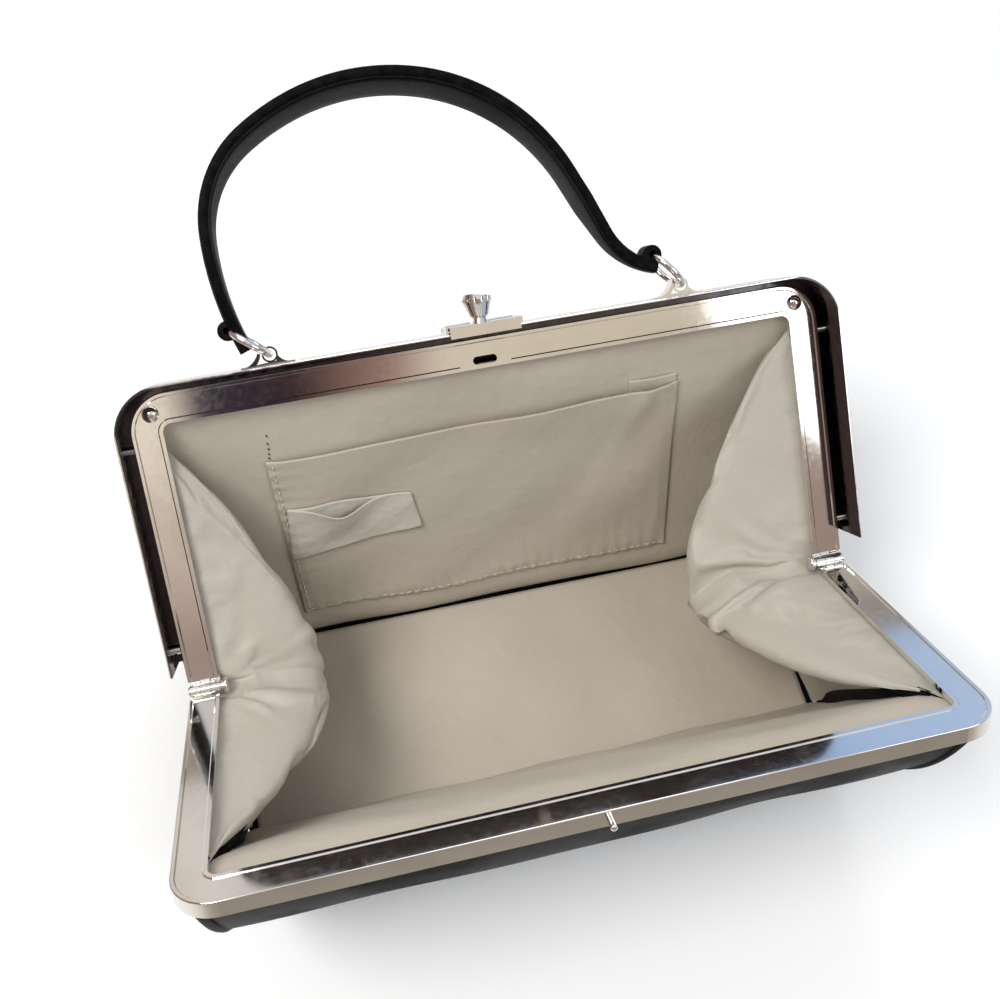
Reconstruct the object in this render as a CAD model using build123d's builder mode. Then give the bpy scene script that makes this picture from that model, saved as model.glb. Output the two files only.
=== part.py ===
"""A metal-framed handbag, standing open.

Millimetres, +Z up, +Y to the back, +X to the right.  The origin is the middle
of the flat bottom.  Two U-shaped metal jaws are hinged together at the ends of
their arms, and the leather body hangs from them.  At rest both jaws lean away
from upright by the same angle, one to the front and one to the back.

Each jaw is drawn in its own plane, through the hinge axis: x runs across the
bag, y runs out along the arms and z points to the other jaw.
"""

import os
from math import cos, hypot, radians, sin

from build123d import *

os.makedirs("parts", exist_ok=True)

# Overall size and rest pose
FRAME_WIDTH = 250.0
ARM_LENGTH = 106.4
JAW_LEAN = 51.9
HINGE_HEIGHT = 72.0

# Jaw channel, rolled from sheet
CHANNEL_WIDTH = 10.8
CHANNEL_DEPTH = 5.5
SHEET = 0.8
FRAME_CORNER = 14.0
MEETING_GAP = 0.8
FACE_RECESS = 0.4
RIM_WIDTH = 1.3
INNER_RIM_WIDTH = 1.3
LIP_DEPTH = 2.0
ARM_START = 3.3
EYELET_LENGTH = 8.7
EYELET_WIDTH = 2.9
EYELET_INSET = 2.9
LIP_BREAK = 18.6

# Hinges
BARREL_RADIUS = 2.5
PIN_RADIUS = 1.2
PIN_FIT = 0.05
KNUCKLE_LENGTH = 3.4
KNUCKLE_GAP = 0.2
PIN_HEAD_RADIUS = 2.9
PIN_HEAD_LENGTH = 1.6
PIN_TAIL_RADIUS = 1.9
PIN_TAIL_LENGTH = 0.8
WASHER_RADIUS = 2.2
WASHER_THICKNESS = 0.6

# Cover band round the back jaw
BAND_GAP = 2.2
BAND_THICKNESS = 0.9
BAND_REACH = 12.0
BAND_START = 10.0
BAND_EDGE = 0.3
RIVET_RADIUS = 0.9
RIVET_FIT = 0.05
RIVET_HEAD_RADIUS = 1.6
RIVET_HEAD_HEIGHT = 0.7
RIVET_COLLAR_RADIUS = 1.3
RIVET_START = 15.0
RIVET_DROP = 18.4
STUD_RADIUS = 2.9
STUD_HEIGHT = 1.7
STUD_INSET_X = 7.9
STUD_INSET_Y = 6.8

# Clasp
CATCH_RADIUS = 1.1
CATCH_LENGTH = 4.2
CATCH_DEPTH = 3.2
CLASP_WIDTH = 24.6
LEVER_THICKNESS = 0.9
LEVER_LIFT = 1.5
LEVER_LIP_HEIGHT = 4.0
LEVER_LIP_THICKNESS = 0.9
LIP_CLEARANCE = 0.4
PIVOT_RADIUS = 0.5
PIVOT_BARREL = 1.1
PIVOT_BACK = 2.0
BARREL_CLEARANCE = 0.15
BRACKET_THICKNESS = 0.4
EAR_THICKNESS = 0.8
EAR_GAP = 0.35
SPRING_SPACE = 6.4
SPRING_WIRE = 0.36
SPRING_END_ROOM = 1.0
HOOK_WIDTH = 6.0
HOOK_THICKNESS = 1.0
HOOK_GAP = 0.4
HOOK_CLEARANCE = 0.1
KNOB_NECK_RADIUS = 2.7
KNOB_NECK_LENGTH = 2.3
KNOB_BASE_RADIUS = 3.3
KNOB_TOP_RADIUS = 5.4
KNOB_HEIGHT = 8.0
KNOB_FORWARD = 1.8
KNOB_FLUTES = 14
KNOB_SLANT = 0.2
FLUTE_RADIUS = 0.7

# Handle
LUG_SPACING = 146.8
LUG_FORWARD = 2.7
EYE_HEIGHT = 3.5
EYE_RADIUS = 2.1
EYE_WALL = 0.65
EYE_WIDTH = 0.8
LUG_WIDTH = 5.2
HORN_FOOT = 10.2
HORN_TIP = 3.1
HORN_RISE = 2.4
HORN_NOSE = 0.6
RING_RADIUS = 7.8
RING_WIRE = 1.2
RING_LEAN_LEFT = 140.0
RING_LEAN_RIGHT = 129.5
STRAP_THICKNESS = 4.6
STRAP_WIDTH = 18.0
STRAP_END_WIDTH = 9.0
STRAP_START_DIRECTION = 109.0
STRAP_FROM_LEFT_EYE = (-7.2, -12.3, 5.2, 21.6)
STRAP_FROM_MIDDLE = -7.6
STRAP_FROM_RIGHT_EYE = (-35.8, -25.6, -8.5)
STRAP_RISE = (2.2, 40.4, 70.0, 78.1, 80.3, 43.0, 21.8, 7.8)
STRAP_TAPER_START = 11.0
STRAP_TAPER_LENGTH = 22.0
STRAP_RING_CLEARANCE = 0.15
LOOP_RADIUS = 3.6

# Body
LEATHER = 1.6
LINING = 1.0
SOFT_GAP = 0.3
STACK_GAP = 0.1
BOTTOM_DEPTH = 82.0
BOTTOM_END_INSET = 6.0
BOARD = 2.0
BOARD_INSET = 3.0
PANEL_SETBACK = 6.4
PANEL_TUCK = 2.8
PANEL_BULGE = 13.0
FRONT_PANEL_BULGE = 20.0
LINING_SETBACK = 9.0
LINING_TUCK = 4.0
FRONT_FOLD_SETBACK = 23.4
FRONT_FOLD_TUCK = 4.6
GUSSET_SETBACK = 8.4
GUSSET_TUCK = 2.6
SIDE_CLEARANCE = 4.4
FOLD_TUCK = 5.0
FOLD_REACH_LEFT = 46.0
FOLD_REACH_RIGHT = 58.0
FOLD_SHIFT_LEFT = -10.0
FOLD_SHIFT_RIGHT = 5.0
FOLD_DROP = 8.0
FOLD_TIP_SHARE = 0.06
FOLD_MIDDLE_SHARE = 0.75
RIM_LEAD_SHARE = 0.8
TIP_LAG_SHARE = 2.05
TIP_DROP_SHARE = 1.15
POCKET_WIDTH = 157.5
POCKET_HEIGHT = 89.0
POCKET_THICKNESS = 0.8
POCKET_CENTRE = -5.0
POCKET_DROP = 24.5
LABEL_WIDTH = 50.0
LABEL_HEIGHT = 22.0
LABEL_THICKNESS = 0.4
LABEL_CENTRE = -57.0
LABEL_DROP = 64.0

# Worked out from the sizes above
half_width = FRAME_WIDTH / 2
lug_half = LUG_SPACING / 2
rim_level = -MEETING_GAP
face_level = -MEETING_GAP - FACE_RECESS
channel_back = rim_level - CHANNEL_DEPTH
band_top = ARM_LENGTH + BAND_GAP + BAND_THICKNESS
knuckle_middle = half_width - SHEET - 1.5 * KNUCKLE_LENGTH - KNUCKLE_GAP
rivet_heights = (RIVET_START, ARM_LENGTH - RIVET_DROP)
bottom_length = FRAME_WIDTH - 2 * BOTTOM_END_INSET
hinge = Vector(0, 0, HINGE_HEIGHT)


def jaw_plane(side):
    """The plane of a jaw through the hinge: side is 1 for the back jaw, -1 for the front one."""
    lean = radians(JAW_LEAN)
    return Plane(origin=hinge, x_dir=(side, 0, 0), z_dir=(0, -side * cos(lean), sin(lean)))


back = jaw_plane(1)
front = jaw_plane(-1)


def at(plane, x, y, z):
    """A point given in a plane's own coordinates."""
    return plane.from_local_coords(Vector(x, y, z))


def upright(plane, x, y, z):
    """A plane facing out along the arms: its x runs across the bag."""
    return Plane(origin=at(plane, x, y, z), x_dir=plane.x_dir, z_dir=plane.y_dir)


def sideways(plane, x, y, z):
    """A plane facing across the bag, with its y to the other jaw."""
    return Plane(origin=at(plane, x, y, z), x_dir=plane.y_dir, z_dir=plane.x_dir)


def save(piece, name):
    """Label a finished piece and write it to its own file."""
    piece.label = name
    export_step(piece, f"parts/{name}.step")


# Jaws: a rolled channel bent to a U, with hinge knuckles curled at the arm ends
def jaw_channel(plane):
    """The U-shaped channel: outer web, face with two raised rims, and inner lip."""
    inner = CHANNEL_WIDTH
    ramp = FACE_RECESS
    outline = [
        (0, channel_back),
        (0, rim_level),
        (RIM_WIDTH, rim_level),
        (RIM_WIDTH + ramp, face_level),
        (inner - INNER_RIM_WIDTH - ramp, face_level),
        (inner - INNER_RIM_WIDTH, rim_level),
        (inner, rim_level),
        (inner, rim_level - LIP_DEPTH),
        (inner - SHEET, rim_level - LIP_DEPTH),
        (inner - SHEET, face_level - SHEET),
        (SHEET, face_level - SHEET),
        (SHEET, channel_back),
    ]
    with BuildPart() as channel:
        with BuildLine(plane) as path:
            FilletPolyline(
                (half_width, ARM_START),
                (half_width, ARM_LENGTH),
                (-half_width, ARM_LENGTH),
                (-half_width, ARM_START),
                radius=FRAME_CORNER,
            )
        start = Plane(origin=path.line @ 0, x_dir=-plane.x_dir, z_dir=plane.y_dir)
        with BuildSketch(start):
            with BuildLine():
                Polyline(*outline, close=True)
            make_face()
        sweep(path=path.line)
        outer_corners = channel.edges().filter_by(lambda e: abs(plane.to_local_coords(e.center()).Z
                                                              - rim_level) < SHEET / 10)
        rounded = [e for e in outer_corners if on_outer_line(plane, e)]
        fillet(rounded, radius=SHEET / 2)
    return channel.part


def on_outer_line(plane, edge):
    """True for the long edges where the face turns into the outer web."""
    middle = plane.to_local_coords(edge @ 0.5)
    beside = abs(abs(middle.X) - half_width) < SHEET / 10 and middle.Y > ARM_START + SHEET
    above = abs(middle.Y - ARM_LENGTH) < SHEET / 10 and abs(middle.X) < half_width - SHEET
    centre_x = half_width - FRAME_CORNER
    centre_y = ARM_LENGTH - FRAME_CORNER
    reach = hypot(abs(middle.X) - centre_x, middle.Y - centre_y)
    turning = abs(reach - FRAME_CORNER) < SHEET / 10 and abs(middle.X) > centre_x
    return edge.length > FRAME_CORNER / 2 and (beside or above or turning)


def knuckles(plane, offsets):
    """Curled barrels on the hinge axis, each joined to the arm's face by a short tab."""
    with BuildPart() as curls:
        for side in (-1, 1):
            for offset in offsets:
                place = side * (knuckle_middle + offset)
                with BuildSketch(sideways(plane, place, 0, 0)):
                    Circle(BARREL_RADIUS)
                    with BuildLine():
                        Polyline(
                            (0, face_level),
                            (ARM_START + SHEET, face_level),
                            (ARM_START + SHEET, face_level - SHEET),
                            (0, face_level - SHEET),
                            close=True,
                        )
                    make_face()
                    Circle(PIN_RADIUS + PIN_FIT, mode=Mode.SUBTRACT)
                extrude(amount=KNUCKLE_LENGTH / 2, both=True)
    return curls.part


knuckle_pitch = KNUCKLE_LENGTH + KNUCKLE_GAP

with BuildPart() as back_jaw:
    add(jaw_channel(back))
    add(knuckles(back, (-knuckle_pitch, knuckle_pitch)))
    # The inner rim is left out in the middle, round an oval eyelet
    eyelet_level = ARM_LENGTH - CHANNEL_WIDTH + EYELET_INSET
    with BuildSketch(Plane(origin=at(back, 0, 0, face_level), x_dir=back.x_dir, z_dir=back.z_dir)):
        with Locations((0, ARM_LENGTH - CHANNEL_WIDTH + INNER_RIM_WIDTH / 2)):
            Rectangle(LIP_BREAK, INNER_RIM_WIDTH + 2 * FACE_RECESS)
    extrude(amount=2 * FACE_RECESS, mode=Mode.SUBTRACT)
    with BuildSketch(Plane(origin=at(back, 0, eyelet_level, face_level), x_dir=back.x_dir,
                           z_dir=back.z_dir)):
        SlotOverall(EYELET_LENGTH, EYELET_WIDTH)
    extrude(amount=-2 * SHEET, mode=Mode.SUBTRACT)
    # Rivet holes through the outer webs
    for side in (-1, 1):
        for height in rivet_heights:
            with BuildSketch(sideways(back, side * half_width, height, channel_back + CHANNEL_DEPTH / 2)):
                Circle(RIVET_RADIUS + RIVET_FIT)
            extrude(amount=2 * SHEET, both=True, mode=Mode.SUBTRACT)
save(back_jaw.part, "back_jaw_frame")

catch_level = rim_level - CATCH_DEPTH

with BuildPart() as front_jaw:
    add(jaw_channel(front))
    add(knuckles(front, (0,)))
    with BuildSketch(upright(front, 0, ARM_LENGTH, catch_level)):
        Circle(CATCH_RADIUS + PIN_FIT)
    extrude(amount=2 * SHEET, both=True, mode=Mode.SUBTRACT)
save(front_jaw.part, "front_jaw_frame")

# Catch pin: a round-nosed pin headed over inside the front jaw's web
with BuildPart() as catch_pin:
    with BuildSketch(upright(front, 0, ARM_LENGTH - SHEET, catch_level)):
        Circle(CATCH_RADIUS)
    extrude(amount=SHEET + CATCH_LENGTH)
    nose = catch_pin.faces().sort_by(Axis(origin=hinge, direction=front.y_dir))[-1]
    fillet(nose.edges(), radius=CATCH_RADIUS * 0.6)
    with BuildSketch(upright(front, 0, ARM_LENGTH - SHEET, catch_level)):
        Circle(CATCH_RADIUS + SHEET / 2)
    extrude(amount=-SHEET / 2)
save(catch_pin.part, "catch_pin")

# Hinge pins: a broad head on the lining side, a riveted tail outside
inner_knuckle_end = knuckle_middle - knuckle_pitch - KNUCKLE_LENGTH / 2
outer_knuckle_end = knuckle_middle + knuckle_pitch + KNUCKLE_LENGTH / 2

for side, name in ((-1, "left"), (1, "right")):
    out = Plane(origin=hinge, x_dir=(0, 1, 0), z_dir=(side, 0, 0))
    shank_start = inner_knuckle_end - KNUCKLE_GAP - WASHER_THICKNESS - KNUCKLE_GAP
    with BuildPart() as hinge_pin:
        with BuildSketch(out.offset(shank_start)):
            Circle(PIN_RADIUS)
        extrude(amount=outer_knuckle_end + PIN_FIT - shank_start)
        with BuildSketch(out.offset(shank_start)):
            Circle(PIN_HEAD_RADIUS)
        extrude(amount=-PIN_HEAD_LENGTH)
        head = hinge_pin.faces().sort_by(Axis(origin=hinge, direction=out.z_dir))[0]
        fillet(head.edges(), radius=PIN_HEAD_LENGTH / 2)
        with BuildSketch(out.offset(outer_knuckle_end + PIN_FIT)):
            Circle(PIN_TAIL_RADIUS)
        extrude(amount=PIN_TAIL_LENGTH)
        tail = hinge_pin.faces().sort_by(Axis(origin=hinge, direction=out.z_dir))[-1]
        fillet(tail.edges(), radius=PIN_TAIL_LENGTH / 2)
    save(hinge_pin.part, f"{name}_hinge_pin")
    with BuildPart() as washer:
        with BuildSketch(out.offset(shank_start + KNUCKLE_GAP)):
            Circle(WASHER_RADIUS)
            Circle(PIN_RADIUS + PIN_FIT, mode=Mode.SUBTRACT)
        extrude(amount=WASHER_THICKNESS)
    save(washer.part, f"{name}_hinge_washer")

# Cover band: a flat strip bent round the back jaw, with a rear flange against the web
with BuildPart() as band:
    with BuildLine(back) as band_path:
        FilletPolyline(
            (half_width, BAND_START),
            (half_width, ARM_LENGTH),
            (-half_width, ARM_LENGTH),
            (-half_width, BAND_START),
            radius=FRAME_CORNER,
        )
    band_section = Plane(origin=band_path.line @ 0, x_dir=-back.x_dir, z_dir=back.y_dir)
    outer_face = -BAND_GAP - BAND_THICKNESS
    with BuildSketch(band_section):
        with BuildLine():
            Polyline(
                (outer_face, BAND_REACH - BAND_EDGE),
                (outer_face + BAND_EDGE, BAND_REACH),
                (-BAND_GAP - BAND_EDGE, BAND_REACH),
                (-BAND_GAP, BAND_REACH - BAND_EDGE),
                (-BAND_GAP, channel_back),
                (SHEET, channel_back),
                (SHEET, channel_back - BAND_THICKNESS),
                (outer_face + BAND_EDGE, channel_back - BAND_THICKNESS),
                (outer_face, channel_back - BAND_THICKNESS + BAND_EDGE),
                close=True,
            )
        make_face()
    sweep(path=band_path.line)
    # Slot under the clasp that lets the catch pin in
    slot_back = MEETING_GAP + CATCH_DEPTH - CATCH_RADIUS - 2 * HOOK_GAP
    slot_front = BAND_REACH + BAND_THICKNESS
    with BuildSketch(upright(back, 0, ARM_LENGTH, (slot_back + slot_front) / 2)):
        Rectangle(4 * CATCH_RADIUS, slot_front - slot_back)
    extrude(amount=2 * (BAND_GAP + BAND_THICKNESS), mode=Mode.SUBTRACT)
    for side in (-1, 1):
        for height in rivet_heights:
            with BuildSketch(sideways(back, side * half_width, height, channel_back + CHANNEL_DEPTH / 2)):
                Circle(RIVET_RADIUS + RIVET_FIT)
            extrude(amount=side * 2 * (BAND_GAP + BAND_THICKNESS), mode=Mode.SUBTRACT)
save(band.part, "cover_band")

# Band rivets: shank, spacing collar in the gap, and a low head at each end
with BuildPart() as rivets:
    for side in (-1, 1):
        for height in rivet_heights:
            seat = Plane(origin=at(back, side * half_width, height, channel_back + CHANNEL_DEPTH / 2),
                         x_dir=back.y_dir, z_dir=side * back.x_dir)
            with BuildSketch(seat.offset(-SHEET)):
                Circle(RIVET_RADIUS)
            extrude(amount=SHEET + BAND_GAP + BAND_THICKNESS)
            with BuildSketch(seat):
                Circle(RIVET_COLLAR_RADIUS)
            extrude(amount=BAND_GAP)
            with BuildSketch(seat.offset(BAND_GAP + BAND_THICKNESS)):
                Circle(RIVET_HEAD_RADIUS)
            extrude(amount=RIVET_HEAD_HEIGHT, taper=30)
            with BuildSketch(seat.offset(-SHEET)):
                Circle(RIVET_HEAD_RADIUS)
            extrude(amount=-RIVET_HEAD_HEIGHT, taper=30)
save(rivets.part, "band_rivets")

# Corner studs: domed bumpers on the back jaw's face
with BuildPart() as studs:
    dome_radius = (STUD_RADIUS ** 2 + STUD_HEIGHT ** 2) / (2 * STUD_HEIGHT)
    for side in (-1, 1):
        foot = at(back, side * (half_width - STUD_INSET_X), ARM_LENGTH - STUD_INSET_Y, face_level)
        section = Plane(origin=foot, x_dir=back.x_dir, z_dir=-back.y_dir)
        with BuildSketch(section):
            with BuildLine():
                Line((0, 0), (STUD_RADIUS, 0))
                RadiusArc((STUD_RADIUS, 0), (0, STUD_HEIGHT), -dome_radius)
                Line((0, STUD_HEIGHT), (0, 0))
            make_face()
        revolve(axis=Axis(origin=foot, direction=back.z_dir))
save(studs.part, "corner_studs")

# Clasp: a bracket with two ears on the band carries a sprung lever with a knob
pivot_level = band_top + BRACKET_THICKNESS + BARREL_CLEARANCE + PIVOT_BARREL
lever_under = band_top + LEVER_LIFT
lever_top = lever_under + LEVER_THICKNESS
lip_face = BAND_REACH + LIP_CLEARANCE + LEVER_LIP_THICKNESS
ear_face = CLASP_WIDTH / 2 + EAR_GAP

with BuildPart() as bracket:
    with BuildSketch(upright(back, 0, band_top, -PIVOT_BACK)):
        Rectangle(2 * (ear_face + EAR_THICKNESS), 4 * PIVOT_BARREL)
    extrude(amount=BRACKET_THICKNESS)
    for side in (-1, 1):
        ear_plane = sideways(back, side * (ear_face + EAR_THICKNESS / 2), 0, 0)
        with BuildSketch(ear_plane):
            with BuildLine():
                Polyline(
                    (band_top, -PIVOT_BACK - 2 * PIVOT_BARREL),
                    (pivot_level, -PIVOT_BACK - PIVOT_BARREL),
                    (lever_top, -PIVOT_BACK - PIVOT_BARREL),
                    (lever_top, BAND_REACH - EAR_THICKNESS),
                    (band_top, BAND_REACH - EAR_THICKNESS),
                    close=True,
                )
            make_face()
            with Locations((pivot_level, -PIVOT_BACK)):
                Circle(PIVOT_RADIUS + PIN_FIT, mode=Mode.SUBTRACT)
        extrude(amount=EAR_THICKNESS / 2, both=True)
save(bracket.part, "clasp_bracket")

with BuildPart() as pivot:
    with BuildSketch(sideways(back, 0, pivot_level, -PIVOT_BACK)):
        Circle(PIVOT_RADIUS)
    extrude(amount=ear_face + EAR_THICKNESS, both=True)
    for side in (-1, 1):
        end = Plane(origin=at(back, side * (ear_face + EAR_THICKNESS), pivot_level, -PIVOT_BACK),
                    x_dir=back.y_dir, z_dir=side * back.x_dir)
        with BuildSketch(end):
            Circle(PIVOT_RADIUS * 1.6)
        extrude(amount=PIVOT_RADIUS / 2)
save(pivot.part, "clasp_pivot_pin")

with BuildPart() as lever:
    with BuildSketch(sideways(back, 0, 0, 0)):
        with BuildLine():
            Polyline(
                (lever_under, -PIVOT_BACK),
                (lever_under, BAND_REACH + LIP_CLEARANCE),
                (lever_top - LEVER_LIP_HEIGHT, BAND_REACH + LIP_CLEARANCE),
                (lever_top - LEVER_LIP_HEIGHT, lip_face),
                (lever_top, lip_face),
                (lever_top, -PIVOT_BACK),
                close=True,
            )
        make_face()
        with Locations((pivot_level, -PIVOT_BACK)):
            Circle(PIVOT_BARREL)
            Circle(PIVOT_RADIUS + PIN_FIT, mode=Mode.SUBTRACT)
    extrude(amount=CLASP_WIDTH / 2, both=True)
    # The barrel is cut away in the middle for the spring
    with BuildSketch(sideways(back, 0, 0, 0)):
        with Locations((pivot_level - PIVOT_BARREL / 4, -PIVOT_BACK)):
            Rectangle(2.5 * PIVOT_BARREL + LEVER_THICKNESS, 2.4 * PIVOT_BARREL)
    extrude(amount=SPRING_SPACE / 2, both=True, mode=Mode.SUBTRACT)
    # Hook under the plate, ramped in front, that holds the catch pin
    hook_back = MEETING_GAP + CATCH_DEPTH + CATCH_RADIUS + HOOK_GAP
    with BuildSketch(sideways(back, 0, 0, 0)):
        with BuildLine():
            Polyline(
                (lever_under, hook_back),
                (band_top + HOOK_CLEARANCE, hook_back),
                (band_top + HOOK_CLEARANCE, hook_back + HOOK_THICKNESS / 2),
                (lever_under, hook_back + 2 * HOOK_THICKNESS),
                close=True,
            )
        make_face()
    extrude(amount=HOOK_WIDTH / 2, both=True)
save(lever.part, "clasp_lever")

# Coil spring round the pivot, with one leg on the bracket
with BuildPart() as spring:
    turns = int((SPRING_SPACE - SPRING_END_ROOM) / (SPRING_WIRE * 1.15))
    coil_radius = PIVOT_RADIUS + PIN_FIT + SPRING_WIRE / 2
    start = -turns * SPRING_WIRE / 2
    coils = [(start, coil_radius - SPRING_WIRE / 4)]
    for turn in range(turns):
        turn_start = start + turn * SPRING_WIRE
        coils += [
            (turn_start, coil_radius + SPRING_WIRE / 4),
            (turn_start + SPRING_WIRE / 4, coil_radius + SPRING_WIRE / 2),
            (turn_start + SPRING_WIRE * 0.75, coil_radius + SPRING_WIRE / 2),
        ]
    coils += [(-start, coil_radius + SPRING_WIRE / 4), (-start, coil_radius - SPRING_WIRE / 4)]
    with BuildSketch(Plane(origin=at(back, 0, pivot_level, -PIVOT_BACK), x_dir=back.x_dir,
                           z_dir=back.z_dir)):
        with BuildLine():
            Polyline(*coils, close=True)
        make_face()
    revolve(axis=Axis(origin=at(back, 0, pivot_level, -PIVOT_BACK), direction=back.x_dir))
    leg_level = band_top + BRACKET_THICKNESS
    with BuildSketch(Plane(origin=at(back, 0, leg_level + SPRING_WIRE / 2, -PIVOT_BACK - coil_radius * 0.7),
                           x_dir=back.x_dir, z_dir=-back.z_dir)):
        with Locations((turns * SPRING_WIRE / 2 - SPRING_WIRE / 2, 0)):
            Rectangle(SPRING_WIRE, SPRING_WIRE)
    extrude(amount=PIVOT_BARREL)
    with BuildSketch(Plane(origin=at(back, 0, leg_level, -PIVOT_BACK - coil_radius * 0.7),
                           x_dir=back.x_dir, z_dir=back.y_dir)):
        with Locations((turns * SPRING_WIRE / 2 - SPRING_WIRE / 2, 0)):
            Rectangle(SPRING_WIRE, SPRING_WIRE)
    extrude(amount=pivot_level - leg_level - coil_radius * 0.5)
save(spring.part, "clasp_spring")

# Knob: a short neck and a fluted head that widens upward, with a slanted top
with BuildPart() as knob:
    knob_foot = at(back, 0, lever_top, KNOB_FORWARD)
    head_start = KNOB_NECK_LENGTH
    with BuildSketch(Plane(origin=knob_foot, x_dir=back.x_dir, z_dir=back.z_dir)):
        with BuildLine():
            Polyline(
                (0, 0),
                (KNOB_NECK_RADIUS, 0),
                (KNOB_NECK_RADIUS * 0.85, head_start * 0.6),
                (KNOB_BASE_RADIUS, head_start),
                (KNOB_TOP_RADIUS, head_start + KNOB_HEIGHT * 0.7),
                (KNOB_TOP_RADIUS * 0.82, head_start + KNOB_HEIGHT * 0.95),
                (0, head_start + KNOB_HEIGHT),
                close=True,
            )
        make_face()
    revolve(axis=Axis(origin=knob_foot, direction=back.y_dir))
    with BuildSketch(upright(back, 0, lever_top + head_start, KNOB_FORWARD)):
        with PolarLocations(KNOB_TOP_RADIUS + FLUTE_RADIUS * 0.4, KNOB_FLUTES):
            Circle(FLUTE_RADIUS)
    extrude(amount=KNOB_HEIGHT, mode=Mode.SUBTRACT)
    slant = Plane(origin=at(back, 0, lever_top + head_start + KNOB_HEIGHT * 0.9, KNOB_FORWARD),
                  x_dir=back.z_dir, z_dir=back.y_dir + back.x_dir * KNOB_SLANT)
    split(bisect_by=slant, keep=Keep.BOTTOM)
save(knob.part, "clasp_knob")

# Handle lugs: an eye ring on a foot, with a curved horn on the left and a sloping leg on the right
eye_level = band_top + EYE_HEIGHT
foot_thickness = EYE_HEIGHT - EYE_RADIUS - EYE_WALL


ground = -EYE_HEIGHT

with BuildSketch() as horn:
    with BuildLine():
        horn_root = (-HORN_FOOT * 0.55, ground)
        horn_tip = (-HORN_TIP - HORN_NOSE / 2, HORN_RISE)
        under_tip = (-HORN_TIP + HORN_NOSE / 2, HORN_RISE - HORN_NOSE)
        Line((-HORN_FOOT, ground), horn_root)
        ThreePointArc(horn_root, (-HORN_TIP - HORN_NOSE, ground * 0.35), under_tip)
        Line(under_tip, horn_tip)
        ThreePointArc(horn_tip, (-HORN_FOOT * 0.5, ground * 0.25), (-HORN_FOOT, ground))
    make_face()

for side, name in ((-1, "left"), (1, "right")):
    eye = at(back, side * lug_half, eye_level, LUG_FORWARD)
    facing = Plane(origin=eye, x_dir=back.x_dir, z_dir=back.z_dir)
    with BuildPart() as lug:
        with BuildSketch(facing):
            Circle(EYE_RADIUS + EYE_WALL)
            Circle(EYE_RADIUS, mode=Mode.SUBTRACT)
        extrude(amount=EYE_WIDTH / 2, both=True)
        with BuildSketch(facing):
            add(horn.sketch)
            with BuildLine():
                Line((-HORN_FOOT, ground), (HORN_FOOT * 0.8, ground))
                Line((HORN_FOOT * 0.8, ground), (HORN_FOOT * 0.8, ground + foot_thickness / 2))
                ThreePointArc((HORN_FOOT * 0.8, ground + foot_thickness / 2),
                              (HORN_FOOT * 0.42, ground + foot_thickness * 1.4),
                              (EYE_RADIUS + EYE_WALL * 0.8, -EYE_RADIUS * 0.3))
                Line((EYE_RADIUS + EYE_WALL * 0.8, -EYE_RADIUS * 0.3),
                     (EYE_RADIUS * 0.8, -EYE_RADIUS - foot_thickness / 2))
                Line((EYE_RADIUS * 0.8, -EYE_RADIUS - foot_thickness / 2),
                     (-HORN_FOOT, ground + foot_thickness / 2))
                Line((-HORN_FOOT, ground + foot_thickness / 2), (-HORN_FOOT, ground))
            make_face()
            Circle(EYE_RADIUS, mode=Mode.SUBTRACT)
        extrude(amount=EYE_WIDTH / 2, both=True)
        with BuildSketch(facing):
            add(horn.sketch)
        extrude(amount=LUG_WIDTH / 2, both=True)
        with BuildSketch(Plane(origin=at(back, side * lug_half - HORN_FOOT * 0.1, band_top,
                                         LUG_FORWARD), x_dir=back.x_dir, z_dir=back.y_dir)):
            Rectangle(HORN_FOOT * 1.8, LUG_WIDTH)
        extrude(amount=foot_thickness * 0.6)
    save(lug.part, f"{name}_handle_lug")

# Handle rings: round wire, each lying in its lug's eye and the strap's end loop
ring_wires = {}
for side, name, lean in ((-1, "left", RING_LEAN_LEFT), (1, "right", RING_LEAN_RIGHT)):
    eye = at(back, side * lug_half, eye_level, LUG_FORWARD)
    along = back.x_dir * cos(radians(lean)) + back.y_dir * sin(radians(lean))
    middle = eye + along * RING_RADIUS
    with BuildPart() as ring:
        with BuildSketch(Plane(origin=middle + along * RING_RADIUS, x_dir=along,
                               z_dir=back.z_dir)):
            Circle(RING_WIRE)
        revolve(axis=Axis(origin=middle, direction=along.cross(back.z_dir)))
    ring_wires[name] = (middle, along)
    save(ring.part, f"{name}_handle_ring")

# Handle strap: stiff stitched leather in a leaning arch, narrowed and looped at both rings
spine_across = [across - lug_half for across in STRAP_FROM_LEFT_EYE]
spine_across += [STRAP_FROM_MIDDLE]
spine_across += [lug_half + across for across in STRAP_FROM_RIGHT_EYE]
spine_points = [(across, eye_level + rise) for across, rise in zip(spine_across, STRAP_RISE)]
taper_low = eye_level + STRAP_TAPER_START
taper_high = taper_low + STRAP_TAPER_LENGTH

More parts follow.
